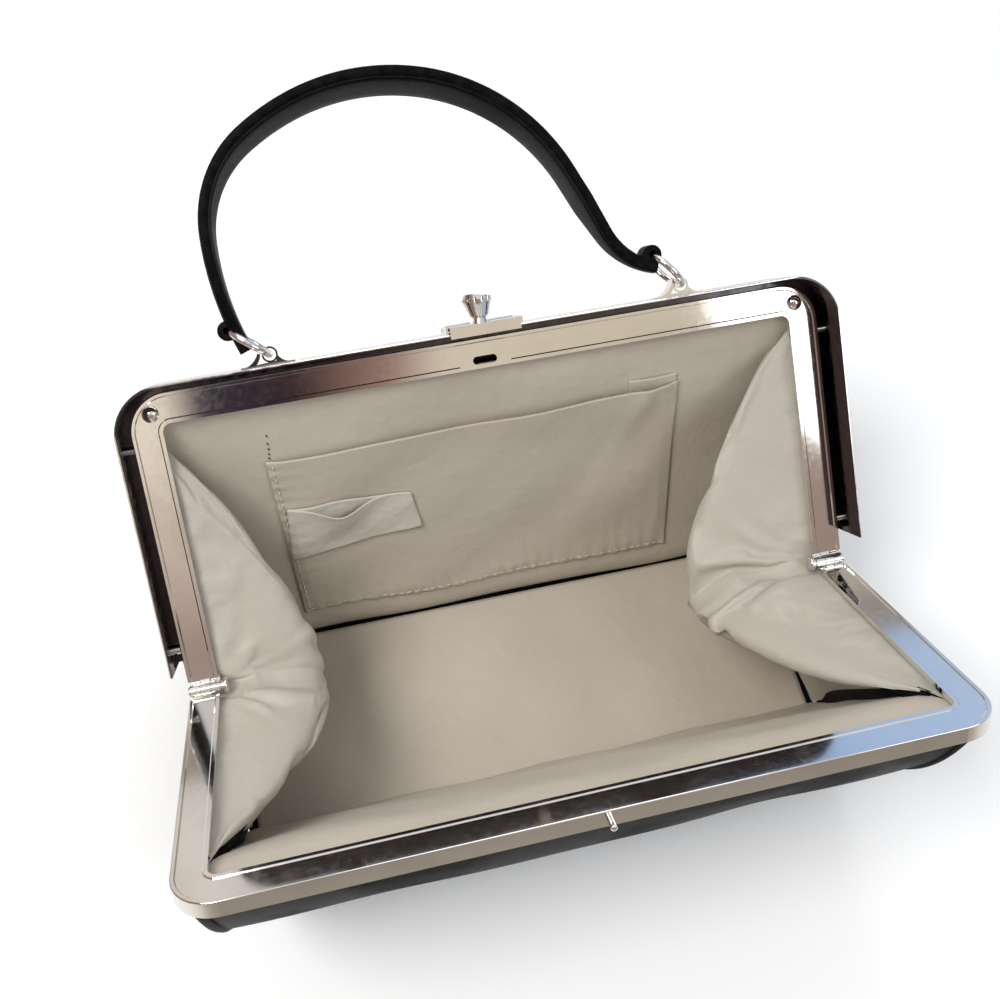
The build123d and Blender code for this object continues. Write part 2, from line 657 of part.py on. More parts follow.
with BuildPart() as strap:
    level = Plane(origin=at(back, 0, 0, LUG_FORWARD), x_dir=back.x_dir, z_dir=back.z_dir)
    with BuildSketch(level):
        with BuildLine() as spine:
            direction = Vector(cos(radians(STRAP_START_DIRECTION)), sin(radians(STRAP_START_DIRECTION)))
            for begin, end in zip(spine_points, spine_points[1:]):
                bend = TangentArc(begin, end, tangent=direction)
                direction = bend % 1
        trace(line_width=STRAP_THICKNESS)
    extrude(amount=STRAP_WIDTH / 2, both=True)
    with BuildSketch(sideways(back, 0, 0, LUG_FORWARD)):
        with BuildLine():
            Polyline(
                (0, -STRAP_END_WIDTH / 2),
                (taper_low, -STRAP_END_WIDTH / 2),
                (taper_high, -STRAP_WIDTH / 2),
                (2 * ARM_LENGTH, -STRAP_WIDTH / 2),
                (2 * ARM_LENGTH, STRAP_WIDTH / 2),
                (taper_high, STRAP_WIDTH / 2),
                (taper_low, STRAP_END_WIDTH / 2),
                (0, STRAP_END_WIDTH / 2),
                close=True,
            )
        make_face()
    extrude(amount=FRAME_WIDTH, both=True, mode=Mode.INTERSECT)
    for middle, along in ring_wires.values():
        wire = middle + along * RING_RADIUS
        with BuildSketch(Plane(origin=wire, x_dir=along, z_dir=back.z_dir)):
            Circle(LOOP_RADIUS)
        extrude(amount=STRAP_END_WIDTH / 2, both=True)
    for middle, along in ring_wires.values():
        with BuildSketch(Plane(origin=middle + along * RING_RADIUS, x_dir=along,
                               z_dir=back.z_dir)):
            Circle(RING_WIRE + STRAP_RING_CLEARANCE)
        revolve(axis=Axis(origin=middle, direction=along.cross(back.z_dir)), mode=Mode.SUBTRACT)
save(strap.part, "handle_strap")

# Body bottom: leather, a stiffening board on it, and the lining on the board
board_top = LEATHER + STACK_GAP + BOARD
bottom_lining_top = board_top + STACK_GAP + LINING

with BuildPart() as bottom:
    with BuildSketch(Plane.XY):
        RectangleRounded(bottom_length + 2 * LEATHER, BOTTOM_DEPTH + 2 * LEATHER, 2 * LEATHER)
    extrude(amount=LEATHER)
save(bottom.part, "bottom_panel")

with BuildPart() as board:
    with BuildSketch(Plane.XY.offset(LEATHER + STACK_GAP)):
        RectangleRounded(bottom_length - 2 * BOARD_INSET, BOTTOM_DEPTH - 2 * BOARD_INSET, BOARD_INSET)
    extrude(amount=BOARD)
save(board.part, "bottom_board")

with BuildPart() as bottom_lining:
    with BuildSketch(Plane.XY.offset(board_top + STACK_GAP)):
        RectangleRounded(bottom_length - 2 * BOARD_INSET, BOTTOM_DEPTH - 2 * BOARD_INSET, BOARD_INSET)
    extrude(amount=LINING)
save(bottom_lining.part, "bottom_lining")


# Outer panels: leather hung from the jaws' top bars, bowed out on its way to the bottom
def side_view(point):
    """A point as the side view shows it, with y as its first coordinate and z as its second."""
    return Vector(point.Y, point.Z)


def panel_arc(side, bulge, offset=0.0):
    """Top, middle and foot of a panel's bow in the side view, moved outward by an offset."""
    top = side_view(at(back, 0, ARM_LENGTH - PANEL_SETBACK, -PANEL_TUCK))
    foot = Vector(BOTTOM_DEPTH / 2 + LEATHER, LEATHER * 1.5)
    chord = foot - top
    outward = Vector(-chord.Y, chord.X).normalized()
    radius = (chord.length ** 2 / 4 + bulge ** 2) / (2 * bulge)
    centre = (top + foot) / 2 - outward * (radius - bulge)
    bow = (top, (top + foot) / 2 + outward * bulge, foot)
    moved = [centre + (point - centre).normalized() * (radius + offset) for point in bow]
    return [(side * point.X, point.Y) for point in moved]


panel_half = half_width - SHEET - SIDE_CLEARANCE - LEATHER

for side, bulge, name in ((1, PANEL_BULGE, "back_panel"), (-1, FRONT_PANEL_BULGE, "front_panel")):
    with BuildPart() as panel:
        with BuildSketch(Plane.YZ):
            with BuildLine():
                ThreePointArc(*panel_arc(side, bulge))
            trace(line_width=LEATHER)
        extrude(amount=panel_half, both=True)
    save(panel.part, name)

# Linings of the two walls: the back one hangs straight, the front one is folded down from the bar
wall_top = side_view(at(back, 0, ARM_LENGTH - LINING_SETBACK, -LINING_TUCK))
wall_foot = Vector(BOTTOM_DEPTH / 2 - BOARD_INSET, bottom_lining_top + STACK_GAP)
wall_down = (wall_foot - wall_top).normalized()
wall_in = Vector(wall_down.Y, -wall_down.X)
lining_half = panel_half - BOARD_INSET

with BuildPart() as back_lining:
    with BuildSketch(Plane.YZ):
        with BuildLine():
            Polyline(
                wall_top,
                wall_foot,
                wall_foot + wall_in * LINING,
                wall_top + wall_in * LINING,
                close=True,
            )
        make_face()
    extrude(amount=lining_half, both=True)
save(back_lining.part, "back_lining")

strip_top = side_view(at(front, 0, ARM_LENGTH - LINING_SETBACK, -LINING_TUCK))
fold_line = side_view(at(front, 0, ARM_LENGTH - FRONT_FOLD_SETBACK, -FRONT_FOLD_TUCK))
front_foot = Vector(-wall_foot.X, wall_foot.Y + LINING / 2)

with BuildPart() as front_lining:
    with BuildSketch(Plane.YZ):
        with BuildLine():
            Polyline(strip_top, fold_line, front_foot)
        trace(line_width=LINING)
    extrude(amount=lining_half, both=True)
save(front_lining.part, "front_lining")


# Gussets: the side panels, clamped in the arms and pinched at the hinges, folded into the bag
def inset(outline, amount):
    """A straight-edged outline, listed anticlockwise, with every edge moved inward."""
    moved = []
    for before, corner, after in zip(outline[-1:] + outline[:-1], outline, outline[1:] + outline[:1]):
        arriving = (corner - before).normalized()
        leaving = (after - corner).normalized()
        inward = Vector(-arriving.Y, arriving.X) + Vector(-leaving.Y, leaving.X)
        moved.append(corner + inward * (2 * amount / inward.length ** 2))
    return moved


back_corner = wall_top + wall_down * LINING + wall_in * (LINING + SOFT_GAP)
back_floor = wall_foot + wall_in * (LINING + SOFT_GAP)
front_down = (front_foot - fold_line).normalized()
front_in = Vector(-front_down.Y, front_down.X)
front_corner = fold_line + front_down * 2 * LINING + front_in * (LINING / 2 + SOFT_GAP)
front_floor = front_foot + front_in * (LINING / 2 + SOFT_GAP)
notch = Vector(0, HINGE_HEIGHT - FOLD_TUCK / sin(radians(JAW_LEAN)))
floor_level = bottom_lining_top + SOFT_GAP
gusset_rim = [
    notch,
    front_corner,
    Vector(front_floor.X, floor_level),
    Vector(back_floor.X, floor_level),
    back_corner,
]
lining_rim = panel_half - SOFT_GAP


def gusset_fold(side, reach, shift, depth):
    """The form of a folded gusset at a depth below its inner surface.

    Its rim is the gusset's outline and its blunt tip a small copy of that, so the folds between
    them are flat, and they are made as flat faces.
    """
    rim = inset(gusset_rim, depth)
    middle = Vector(0, HINGE_HEIGHT * FOLD_MIDDLE_SHARE)
    tip = Vector(shift, HINGE_HEIGHT - FOLD_DROP - TIP_DROP_SHARE * depth)
    rim_place = side * (lining_rim + RIM_LEAD_SHARE * depth)
    tip_place = side * (half_width - reach + TIP_LAG_SHARE * depth)
    wide = [Vector(rim_place, corner.X, corner.Y) for corner in rim]
    blunt = [tip + (corner - middle) * FOLD_TIP_SHARE for corner in rim]
    narrow = [Vector(tip_place, corner.X, corner.Y) for corner in blunt]
    folds = [Face(Wire.make_polygon(wide)), Face(Wire.make_polygon(narrow))]
    for place in range(len(rim)):
        corners = (wide[place - 1], wide[place], narrow[place], narrow[place - 1])
        folds.append(Face(Wire.make_polygon(corners)))
    return Solid(Shell(folds))


for side, name, reach, shift in ((-1, "left", FOLD_REACH_LEFT, FOLD_SHIFT_LEFT),
                                 (1, "right", FOLD_REACH_RIGHT, FOLD_SHIFT_RIGHT)):
    with BuildPart() as gusset_lining:
        add(gusset_fold(side, reach, shift, 0))
        add(gusset_fold(side, reach, shift, LINING), mode=Mode.SUBTRACT)
    save(gusset_lining.part, f"{name}_gusset_lining")

    leather_start = LINING + SOFT_GAP
    plate_top = side_view(at(back, 0, ARM_LENGTH - GUSSET_SETBACK, -GUSSET_TUCK))
    plate_notch = (0, HINGE_HEIGHT - GUSSET_TUCK / sin(radians(JAW_LEAN)))
    with BuildPart() as gusset:
        add(gusset_fold(side, reach, shift, leather_start))
        with BuildSketch(Plane.YZ.offset(side * (panel_half + SOFT_GAP))):
            with BuildLine():
                back_bow = panel_arc(1, PANEL_BULGE, LEATHER / 2)
                front_bow = panel_arc(-1, FRONT_PANEL_BULGE, LEATHER / 2)
                Line(plate_notch, (plate_top.X, plate_top.Y))
                Line((plate_top.X, plate_top.Y), back_bow[0])
                ThreePointArc(*back_bow)
                Line(back_bow[2], (back_bow[2][0], LEATHER + STACK_GAP))
                Line((back_bow[2][0], LEATHER + STACK_GAP), (front_bow[2][0], LEATHER + STACK_GAP))
                Line((front_bow[2][0], LEATHER + STACK_GAP), front_bow[2])
                ThreePointArc(front_bow[2], front_bow[1], front_bow[0])
                Line(front_bow[0], (-plate_top.X, plate_top.Y))
                Line((-plate_top.X, plate_top.Y), plate_notch)
            make_face()
        extrude(amount=side * LEATHER)
        add(gusset_fold(side, reach, shift, leather_start + LEATHER), mode=Mode.SUBTRACT)
    save(gusset.part, f"{name}_gusset")

# Patch pocket on the back lining, with a woven label sewn into its left seam
pocket_place = wall_top + wall_down * (POCKET_DROP + POCKET_HEIGHT / 2) + wall_in * (LINING + STACK_GAP)
pocket_plane = Plane(origin=(POCKET_CENTRE, pocket_place.X, pocket_place.Y), x_dir=(1, 0, 0),
                     z_dir=(0, wall_in.X, wall_in.Y))

with BuildPart() as pocket:
    with BuildSketch(pocket_plane):
        Rectangle(POCKET_WIDTH, POCKET_HEIGHT)
    extrude(amount=POCKET_THICKNESS)
save(pocket.part, "inner_pocket")

with BuildPart() as label:
    with BuildSketch(pocket_plane.offset(POCKET_THICKNESS + STACK_GAP)):
        with Locations((LABEL_CENTRE - POCKET_CENTRE, POCKET_DROP + POCKET_HEIGHT / 2 - LABEL_DROP)):
            Rectangle(LABEL_WIDTH, LABEL_HEIGHT)
    extrude(amount=LABEL_THICKNESS)
save(label.part, "pocket_label")
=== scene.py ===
import bpy
import numpy as np
from mathutils import Matrix, Vector


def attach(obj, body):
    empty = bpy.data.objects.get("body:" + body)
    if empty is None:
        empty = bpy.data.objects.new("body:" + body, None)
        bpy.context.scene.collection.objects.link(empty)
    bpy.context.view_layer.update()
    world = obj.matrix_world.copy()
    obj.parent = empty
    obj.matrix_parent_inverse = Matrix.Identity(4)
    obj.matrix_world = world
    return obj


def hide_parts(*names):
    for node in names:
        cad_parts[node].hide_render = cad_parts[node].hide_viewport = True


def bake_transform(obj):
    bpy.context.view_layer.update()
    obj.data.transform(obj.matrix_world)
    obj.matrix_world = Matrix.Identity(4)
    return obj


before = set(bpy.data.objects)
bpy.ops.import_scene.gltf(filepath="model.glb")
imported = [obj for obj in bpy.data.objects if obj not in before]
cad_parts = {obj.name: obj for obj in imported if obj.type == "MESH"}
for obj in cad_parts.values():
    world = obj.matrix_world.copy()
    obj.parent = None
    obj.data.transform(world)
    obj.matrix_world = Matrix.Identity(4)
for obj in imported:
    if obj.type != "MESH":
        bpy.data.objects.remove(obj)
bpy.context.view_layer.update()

# The view: a phone held close above the open bag, looking down into it from the front and a
# little from the left.  The place and the turn were worked out from the frame's corners.
CAMERA_PLACE = Vector((-0.05275, -0.13818, 0.45006))
CAMERA_RIGHT = Vector((0.9743, -0.2238, 0.0260))
CAMERA_FORWARD = Vector((0.1262, 0.4467, -0.8857))
SENSOR_WIDTH = 36.0
FOCAL_LENGTH = 38.99


def new_object(name, data):
    """A new object in the scene that shows a mesh, a lamp or a camera."""
    item = bpy.data.objects.new(name, data)
    bpy.context.scene.collection.objects.link(item)
    return item


camera_data = bpy.data.cameras.new("camera")
camera_data.sensor_fit = "HORIZONTAL"
camera_data.sensor_width = SENSOR_WIDTH
camera_data.lens = FOCAL_LENGTH
camera_data.clip_start = 0.01
camera = new_object("camera", camera_data)
backward = -CAMERA_FORWARD.normalized()
upward = backward.cross(CAMERA_RIGHT.normalized()).normalized()
sideways = upward.cross(backward)
camera_turn = Matrix((sideways, upward, backward)).transposed().to_4x4()
camera.matrix_world = Matrix.Translation(CAMERA_PLACE) @ camera_turn
bpy.context.scene.camera = camera
bpy.context.scene.view_settings.view_transform = "Standard"


# The studio: a pale floor and three broad soft lamps, the strongest high up on the left.  The
# camera sees white all round.  The metal sees a room instead: warm walls and a dark doorway in
# front of the bag, and blue daylight with darker bars behind it.
FLOOR_SIZE = 6.0
FLOOR_COLOR = (0.82, 0.815, 0.81, 1)
FLOOR_SEEN = (0.96, 0.96, 0.96, 1)
ROOM_FLOOR = (0.56, 0.49, 0.41, 1)
SURROUND = (0.80, 0.81, 0.83, 1)
SURROUND_STRENGTH = 0.62
FADE_START, FADE_END = 0.25, 0.90
LAMP_AIM = Vector((0, 0, 0.07))
LAMPS = (
    ("key_lamp", (-0.55, -0.10, 1.15), 0.55, 9.4, (1.0, 0.975, 0.94)),
    ("fill_lamp", (0.85, -0.55, 0.95), 0.80, 3.8, (0.90, 0.95, 1.0)),
    ("back_lamp", (0.15, 0.85, 1.10), 0.70, 3.4, (0.95, 0.97, 1.0)),
)
ROOM_IN_FRONT = (
    (0.28, (0.16, 0.095, 0.085)),
    (0.36, (0.34, 0.22, 0.19)),
    (0.385, (0.95, 0.88, 0.76)),
    (0.425, (0.90, 0.80, 0.68)),
    (0.44, (0.020, 0.020, 0.045)),
    (0.485, (0.035, 0.020, 0.025)),
    (0.515, (0.34, 0.20, 0.17)),
    (0.545, (0.74, 0.66, 0.55)),
    (0.66, (0.70, 0.63, 0.51)),
    (0.74, (0.42, 0.43, 0.40)),
)
ROOM_LOW = (0.33, 0.23, 0.21, 1)
LOW_START, LOW_END, LOW_SHARE = 0.72, 0.58, 0.85
BACK_START, BACK_END = -0.15, 0.15
OVERHEAD_START, OVERHEAD_END = 0.78, 0.92
BEARING_START, BEARING_END = -0.93, 1.07
BEARING_DRIFT = 0.14
ROOM_BEHIND = (
    (0.30, (0.34, 0.24, 0.22)),
    (0.40, (0.80, 0.74, 0.70)),
    (0.47, (0.42, 0.43, 0.50)),
    (0.53, (0.13, 0.14, 0.18)),
    (0.56, (0.76, 0.77, 0.80)),
    (0.63, (0.28, 0.35, 0.50)),
    (0.68, (0.40, 0.56, 0.86)),
    (0.80, (0.56, 0.70, 0.94)),
)


def feed(tree, node, values):
    """Fill a node's inputs by name or number: a socket is linked, and anything else is set."""
    for name, value in values.items():
        if isinstance(value, bpy.types.NodeSocket):
            tree.links.new(value, node.inputs[name])
        else:
            node.inputs[name].default_value = value


def add_node(tree, kind, values=(), **settings):
    """A new node of one kind, with its own settings first and then its inputs."""
    node = tree.nodes.new(kind)
    for name, setting in settings.items():
        setattr(node, name, setting)
    feed(tree, node, dict(values))
    return node


def compute(tree, operation, *values):
    """The result of one Math node on sockets or numbers."""
    return add_node(tree, "ShaderNodeMath", dict(enumerate(values)), operation=operation).outputs[0]


def ranged(tree, value, start, end, low=0.0, high=1.0):
    """A value carried from the range start to end over to low to high, and held at its ends."""
    limits = {"Value": value, "From Min": start, "From Max": end, "To Min": low, "To Max": high}
    return add_node(tree, "ShaderNodeMapRange", limits).outputs["Result"]


def color_mix(tree, factor, first, second):
    """A colour between two others, each a socket or four numbers."""
    ends = {"Factor": factor, "A": first, "B": second}
    return add_node(tree, "ShaderNodeMix", ends, data_type="RGBA").outputs["Result"]


def new_material(name):
    """A material with one plain surface: the material, its node tree and the surface node."""
    material = bpy.data.materials.new(name)
    material.use_nodes = True
    tree = material.node_tree
    tree.nodes.clear()
    surface = add_node(tree, "ShaderNodeBsdfPrincipled")
    add_node(tree, "ShaderNodeOutputMaterial", {"Surface": surface.outputs[0]})
    return material, tree, surface


def floor_material():
    """Matt pale floor: white to the camera, and another tone away from the bag in mirrors."""
    material, tree, surface = new_material("floor")
    rays = add_node(tree, "ShaderNodeLightPath").outputs
    place = add_node(tree, "ShaderNodeTexCoord").outputs["Object"]
    distance = add_node(tree, "ShaderNodeVectorMath", {0: place}, operation="LENGTH")
    away = ranged(tree, distance.outputs["Value"], FADE_START, FADE_END)
    mirrored = color_mix(tree, away, FLOOR_COLOR, ROOM_FLOOR)
    seen = color_mix(tree, rays["Is Camera Ray"], FLOOR_COLOR, FLOOR_SEEN)
    color = color_mix(tree, rays["Is Glossy Ray"], seen, mirrored)
    feed(tree, surface, {"Base Color": color, "Roughness": 0.85, "Specular IOR Level": 0.15})
    return material


floor_mesh = bpy.data.meshes.new("floor")
half = FLOOR_SIZE / 2
floor_corners = [(-half, -half, 0), (half, -half, 0), (half, half, 0), (-half, half, 0)]
floor_mesh.from_pydata(floor_corners, [], [(0, 1, 2, 3)])
floor = new_object("floor", floor_mesh)
floor_mesh.materials.append(floor_material())

for name, place, size, power, color in LAMPS:
    lamp_data = bpy.data.lights.new(name, "AREA")
    lamp_data.shape = "DISK"
    lamp_data.size = size
    lamp_data.energy = power
    lamp_data.color = color
    lamp = new_object(name, lamp_data)
    aim = (LAMP_AIM - Vector(place)).to_track_quat("-Z", "Y")
    lamp.matrix_world = Matrix.Translation(place) @ aim.to_matrix().to_4x4()

world = bpy.data.worlds.new("studio")
bpy.context.scene.world = world
world.use_nodes = True
sky = world.node_tree
sky.nodes.clear()
direction = add_node(sky, "ShaderNodeTexCoord").outputs["Generated"]
axes = add_node(sky, "ShaderNodeSeparateXYZ", {0: direction}).outputs
uneven = add_node(sky, "ShaderNodeTexNoise", {"Vector": direction, "Scale": 5, "Detail": 1})
drift = compute(sky, "MULTIPLY_ADD", uneven.outputs["Fac"], BEARING_DRIFT, axes["X"])
bearing = ranged(sky, drift, BEARING_START, BEARING_END)
rooms = []
for stops in (ROOM_IN_FRONT, ROOM_BEHIND):
    ramp = add_node(sky, "ShaderNodeValToRGB", {0: bearing})
    points = ramp.color_ramp.elements
    for point, (position, color) in zip(points, (stops[0], stops[-1])):
        point.position, point.color = position, (*color, 1)
    for position, color in stops[1:-1]:
        points.new(position).color = (*color, 1)
    rooms.append(ramp.outputs["Color"])
low = ranged(sky, axes["Z"], LOW_START, LOW_END, high=LOW_SHARE)
in_front = color_mix(sky, low, rooms[0], ROOM_LOW)
room = color_mix(sky, ranged(sky, axes["Y"], BACK_START, BACK_END), in_front, rooms[1])
room = color_mix(sky, ranged(sky, axes["Z"], OVERHEAD_START, OVERHEAD_END), room, SURROUND)
rays = add_node(sky, "ShaderNodeLightPath").outputs
plain = color_mix(sky, rays["Is Camera Ray"], SURROUND, FLOOR_SEEN)
shown = color_mix(sky, rays["Is Glossy Ray"], plain, room)
either = compute(sky, "MAXIMUM", rays["Is Camera Ray"], rays["Is Glossy Ray"])
strength = ranged(sky, either, 0.0, 1.0, SURROUND_STRENGTH, 1.0)
surround = add_node(sky, "ShaderNodeBackground", {"Color": shown, "Strength": strength})
add_node(sky, "ShaderNodeOutputWorld", {"Surface": surround.outputs[0]})


# The metal: pressed sheet steel with bright nickel plate, a little dulled and smudged by use.
# The pieces are the frame's own solids, and only their finish is given here.
NICKEL = (0.83, 0.805, 0.765, 1)
NICKEL_DULL = (0.56, 0.51, 0.45, 1)
PIN_METAL = (0.72, 0.70, 0.66, 1)
# Painted shade and dark reflection for the inside of the cover band.
PAINTED_BAND_SHADE = (0.085, 0.078, 0.082, 1)
TARNISH = 0.22
RIPPLE_SCALE, RIPPLE_HEIGHT = 28, 0.00006
MASK_START, MASK_END = 0.42, 0.66
MARKS_FINER = 14


def pattern_group(name, size, *masks):
    """A shader group that takes one size and gives the named masks: the group and the size."""
    group = bpy.data.node_groups.new(name, "ShaderNodeTree")
    group.interface.new_socket(size, in_out="INPUT", socket_type="NodeSocketFloat")
    for mask in masks:
        group.interface.new_socket(mask, in_out="OUTPUT", socket_type="NodeSocketFloat")
    return group, add_node(group, "NodeGroupInput").outputs[size]


def smudge_group():
    """Broad soft patches and fine marks, as years of use leave them: two masks from 0 to 1."""
    group, scale = pattern_group("smudges", "Scale", "Patches", "Marks")
    place = add_node(group, "ShaderNodeTexCoord").outputs["Object"]
    finer = compute(group, "MULTIPLY", scale, MARKS_FINER)
    patches = {"Vector": place, "Scale": scale, "Detail": 4, "Distortion": 0.6}
    marks = {"Vector": place, "Scale": finer, "Detail": 6}
    masks = {}
    for name, values in (("Patches", patches), ("Marks", marks)):
        noise = add_node(group, "ShaderNodeTexNoise", values)
        masks[name] = ranged(group, noise.outputs["Fac"], MASK_START, MASK_END)
    add_node(group, "NodeGroupOutput", masks)
    return group


smudges = smudge_group()


def masks_of(tree, group, size):
    """The masks that a shader group gives in a material, for its one size."""
    return add_node(tree, "ShaderNodeGroup", {0: size}, node_tree=group).outputs


def metal_material(name, bright, smooth, rough, scale):
    """Plated metal whose colour and roughness change over smudges, on sheet that is not quite
    flat: the material, its tree, its surface and its colour."""
    material, tree, surface = new_material(name)
    marks = masks_of(tree, smudges, scale)
    tarnish = compute(tree, "MULTIPLY", marks["Patches"], TARNISH)
    color = color_mix(tree, tarnish, bright, NICKEL_DULL)
    place = add_node(tree, "ShaderNodeTexCoord").outputs["Object"]
    ripples = add_node(tree, "ShaderNodeTexNoise",
                       {"Vector": place, "Scale": RIPPLE_SCALE, "Detail": 0})
    bump = add_node(tree, "ShaderNodeBump",
                    {"Height": ripples.outputs["Fac"], "Distance": RIPPLE_HEIGHT})
    feed(tree, surface, {"Base Color": color, "Metallic": 1, "Normal": bump.outputs["Normal"],
                         "Roughness": ranged(tree, marks["Marks"], 0.0, 1.0, smooth, rough)})
    return material, tree, surface, color


nickel = metal_material("nickel_plate", NICKEL, 0.07, 0.10, 34)[0]
pin_metal = metal_material("pin_metal", PIN_METAL, 0.16, 0.34, 60)[0]


# The cover band: sheet steel riveted round the back jaw and plated.  Inside, where it faces the
# jaw, the plate carries painted shade and dark reflection.
HALF_WIDTH = 0.125
ARM_LENGTH = 0.1064
HINGE_HEIGHT = 0.072
JAW_LEAN = np.radians(51.9)
BAND_INSIDE = 0.0025


def band_material():
    """The plated metal, with painted shade and dark reflection wherever it lies inside the band's outer
    skin.
    """
    material, tree, surface, color = metal_material("band_metal", NICKEL, 0.10, 0.26, 26)
    jaw_frame = {"Vector": add_node(tree, "ShaderNodeTexCoord").outputs["Object"],
                 "Location": (0, 0, HINGE_HEIGHT), "Rotation": (-JAW_LEAN, 0, 0)}
    turned = add_node(tree, "ShaderNodeMapping", jaw_frame, vector_type="TEXTURE")
    axes = add_node(tree, "ShaderNodeSeparateXYZ", {0: turned.outputs[0]}).outputs
    beside = compute(tree, "ABSOLUTE", axes["X"])
    narrow = compute(tree, "LESS_THAN", beside, HALF_WIDTH + BAND_INSIDE)
    low = compute(tree, "LESS_THAN", axes["Z"], ARM_LENGTH + BAND_INSIDE)
    inside = compute(tree, "MULTIPLY", narrow, low)
    # Painted shade: the band's inner face is darkened where it faces the jaw.
    feed(tree, surface, {"Base Color": color_mix(tree, inside, color, PAINTED_BAND_SHADE)})
    return material


def finish_node(node, material):
    """Give one of the frame's own solids its finish."""
    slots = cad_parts[node].data.materials
    slots.clear()
    slots.append(material)


for node in ("back_jaw_frame", "front_jaw_frame", "catch_pin", "corner_studs", "left_handle_lug",
             "right_handle_lug", "left_handle_ring", "right_handle_ring", "clasp_bracket",
             "clasp_pivot_pin", "clasp_lever", "clasp_knob"):
    finish_node(node, nickel)
for node in ("band_rivets", "left_hinge_pin", "right_hinge_pin", "left_hinge_washer",
             "right_hinge_washer", "clasp_spring"):
    finish_node(node, pin_metal)
finish_node("cover_band", band_material())


# The lining: smooth cream cloth, a little glossy, yellowed in patches.  The two walls hang from
# the frame's bars: the back one straight, the front one over a fold along its bar.
LINING_COLOR = (0.520, 0.466, 0.388, 1)
LINING_STAIN = (0.420, 0.350, 0.262, 1)
GUSSET_COLOR = (0.465, 0.432, 0.372, 1)
WALL_TOP = (0.0974, -0.0040)
WALL_FOOT = (0.0380, 0.0048)
LINING = 0.001
LINING_WALL = LINING * 0.8
WALL_HALF = 0.1184
WALL_COLUMNS = 150
WALL_ROWS = 90
TUCK_START = 0.118
TUCK_DEPTH = 0.005
FOLD_AT = 0.0830
FOLD_OFF = -0.0046
FOLD_ROUND = 0.0035
STAIN_SHARE = 0.4
THREAD_WIDTH = 0.0003
WALL_WAVE, WALL_WAVE_SIZE = 0.0007, 0.07
FRONT_WAVE = 0.0006
PUCKER_PITCH, PUCKER_HEIGHT, PUCKER_REACH = 0.011, 0.00022, 0.014
FIRM_EDGE = 0.01


def jaw_point(side, x, along, off):
    """Points of a jaw's plane in the bag's own frame: side 1 is the back jaw and -1 the front one,
    along runs out from the hinge, and off is towards the other jaw."""
    lean_y, lean_z = np.sin(JAW_LEAN), np.cos(JAW_LEAN)
    y = side * (along * lean_y - off * lean_z)
    z = HINGE_HEIGHT + along * lean_z + off * lean_y
    return np.stack(np.broadcast_arrays(x, y, z), axis=-1)


def soft_waves(u, v, size, count, seed):
    """Gentle unevenness of cloth: the mean of a number of sine waves of about one size, running
    in random directions over u and v, each with a random phase."""
    draws = np.random.default_rng(seed)
    angles = draws.uniform(0, 2 * np.pi, count)
    sizes = size * draws.uniform(0.6, 1.7, count)
    phases = draws.uniform(0, 2 * np.pi, count)
    total = np.zeros(np.broadcast(u, v).shape)
    for angle, length, phase in zip(angles, sizes, phases):
        total += np.sin((u * np.cos(angle) + v * np.sin(angle)) * 2 * np.pi / length + phase)
    return total / np.sqrt(count)


def mesh_piece(name, points, faces, material):
    """A smooth piece of the scene from points and faces."""
    mesh = bpy.data.meshes.new(name)
    mesh.from_pydata(points.reshape(-1, 3).tolist(), [], faces)
    mesh.polygons.foreach_set("use_smooth", np.ones(len(faces), bool))
    mesh.materials.append(material)
    return new_object(name, mesh)


def grid_faces(rows, columns):
    """The corner numbers of every face in a grid of points, rows by columns."""
    index = np.arange(rows * columns).reshape(rows, columns)
    corners = np.stack((index[:-1, :-1], index[:-1, 1:], index[1:, 1:], index[1:, :-1]), axis=-1)
    return index, corners.reshape(-1, 4)


def sheet_size(points):
    """The mean width and mean length of a grid of points, along its rows and its columns."""
    steps = (np.linalg.norm(np.diff(points, axis=axis), axis=2).sum(axis=axis) for axis in (1, 0))
    return tuple(float(step.mean()) for step in steps)


def grid_piece(name, points, material, wall=0.0, flip=False, levels=0):
    """A sheet from a grid of points, rows by columns, with a UV map that measures metres along
    both ways.  A wall thickens it backwards, and levels subdivides it."""
    faces = grid_faces(*points.shape[:2])[1]
    if flip:
        faces = faces[:, ::-1]
    piece = mesh_piece(name, points, faces.tolist(), material)
    across = np.linalg.norm(np.diff(points, axis=1), axis=2).mean(axis=0)
    down = np.linalg.norm(np.diff(points, axis=0), axis=2).mean(axis=1)
    u = np.concatenate(((0,), np.cumsum(across)))
    v = np.concatenate(((0,), np.cumsum(down)))
    measure = np.stack(np.meshgrid(u, v), axis=-1).reshape(-1, 2)
    layer = piece.data.uv_layers.new(name="metres")
    layer.data.foreach_set("uv", measure[faces.reshape(-1)].reshape(-1))
    if wall:
        thick = piece.modifiers.new("wall", "SOLIDIFY")
        thick.thickness = wall
        thick.offset = -1
    if levels:
        finer = piece.modifiers.new("finer", "SUBSURF")
        finer.levels = finer.render_levels = levels
    return piece


def weave_group():
    """Plain weave on the UV map: two crossing sets of threads, one thread wide each way."""
    group, thread = pattern_group("weave", "Thread", "Height")
    place = add_node(group, "ShaderNodeUVMap", uv_map="metres")
    axes = add_node(group, "ShaderNodeSeparateXYZ", {0: place.outputs[0]}).outputs
    waves = []
    for axis in ("X", "Y"):
        count = compute(group, "DIVIDE", axes[axis], thread)
        waves.append(compute(group, "SINE", compute(group, "MULTIPLY", count, np.pi)))
    add_node(group, "NodeGroupOutput", {"Height": compute(group, "MULTIPLY", *waves)})
    return group


weave = weave_group()


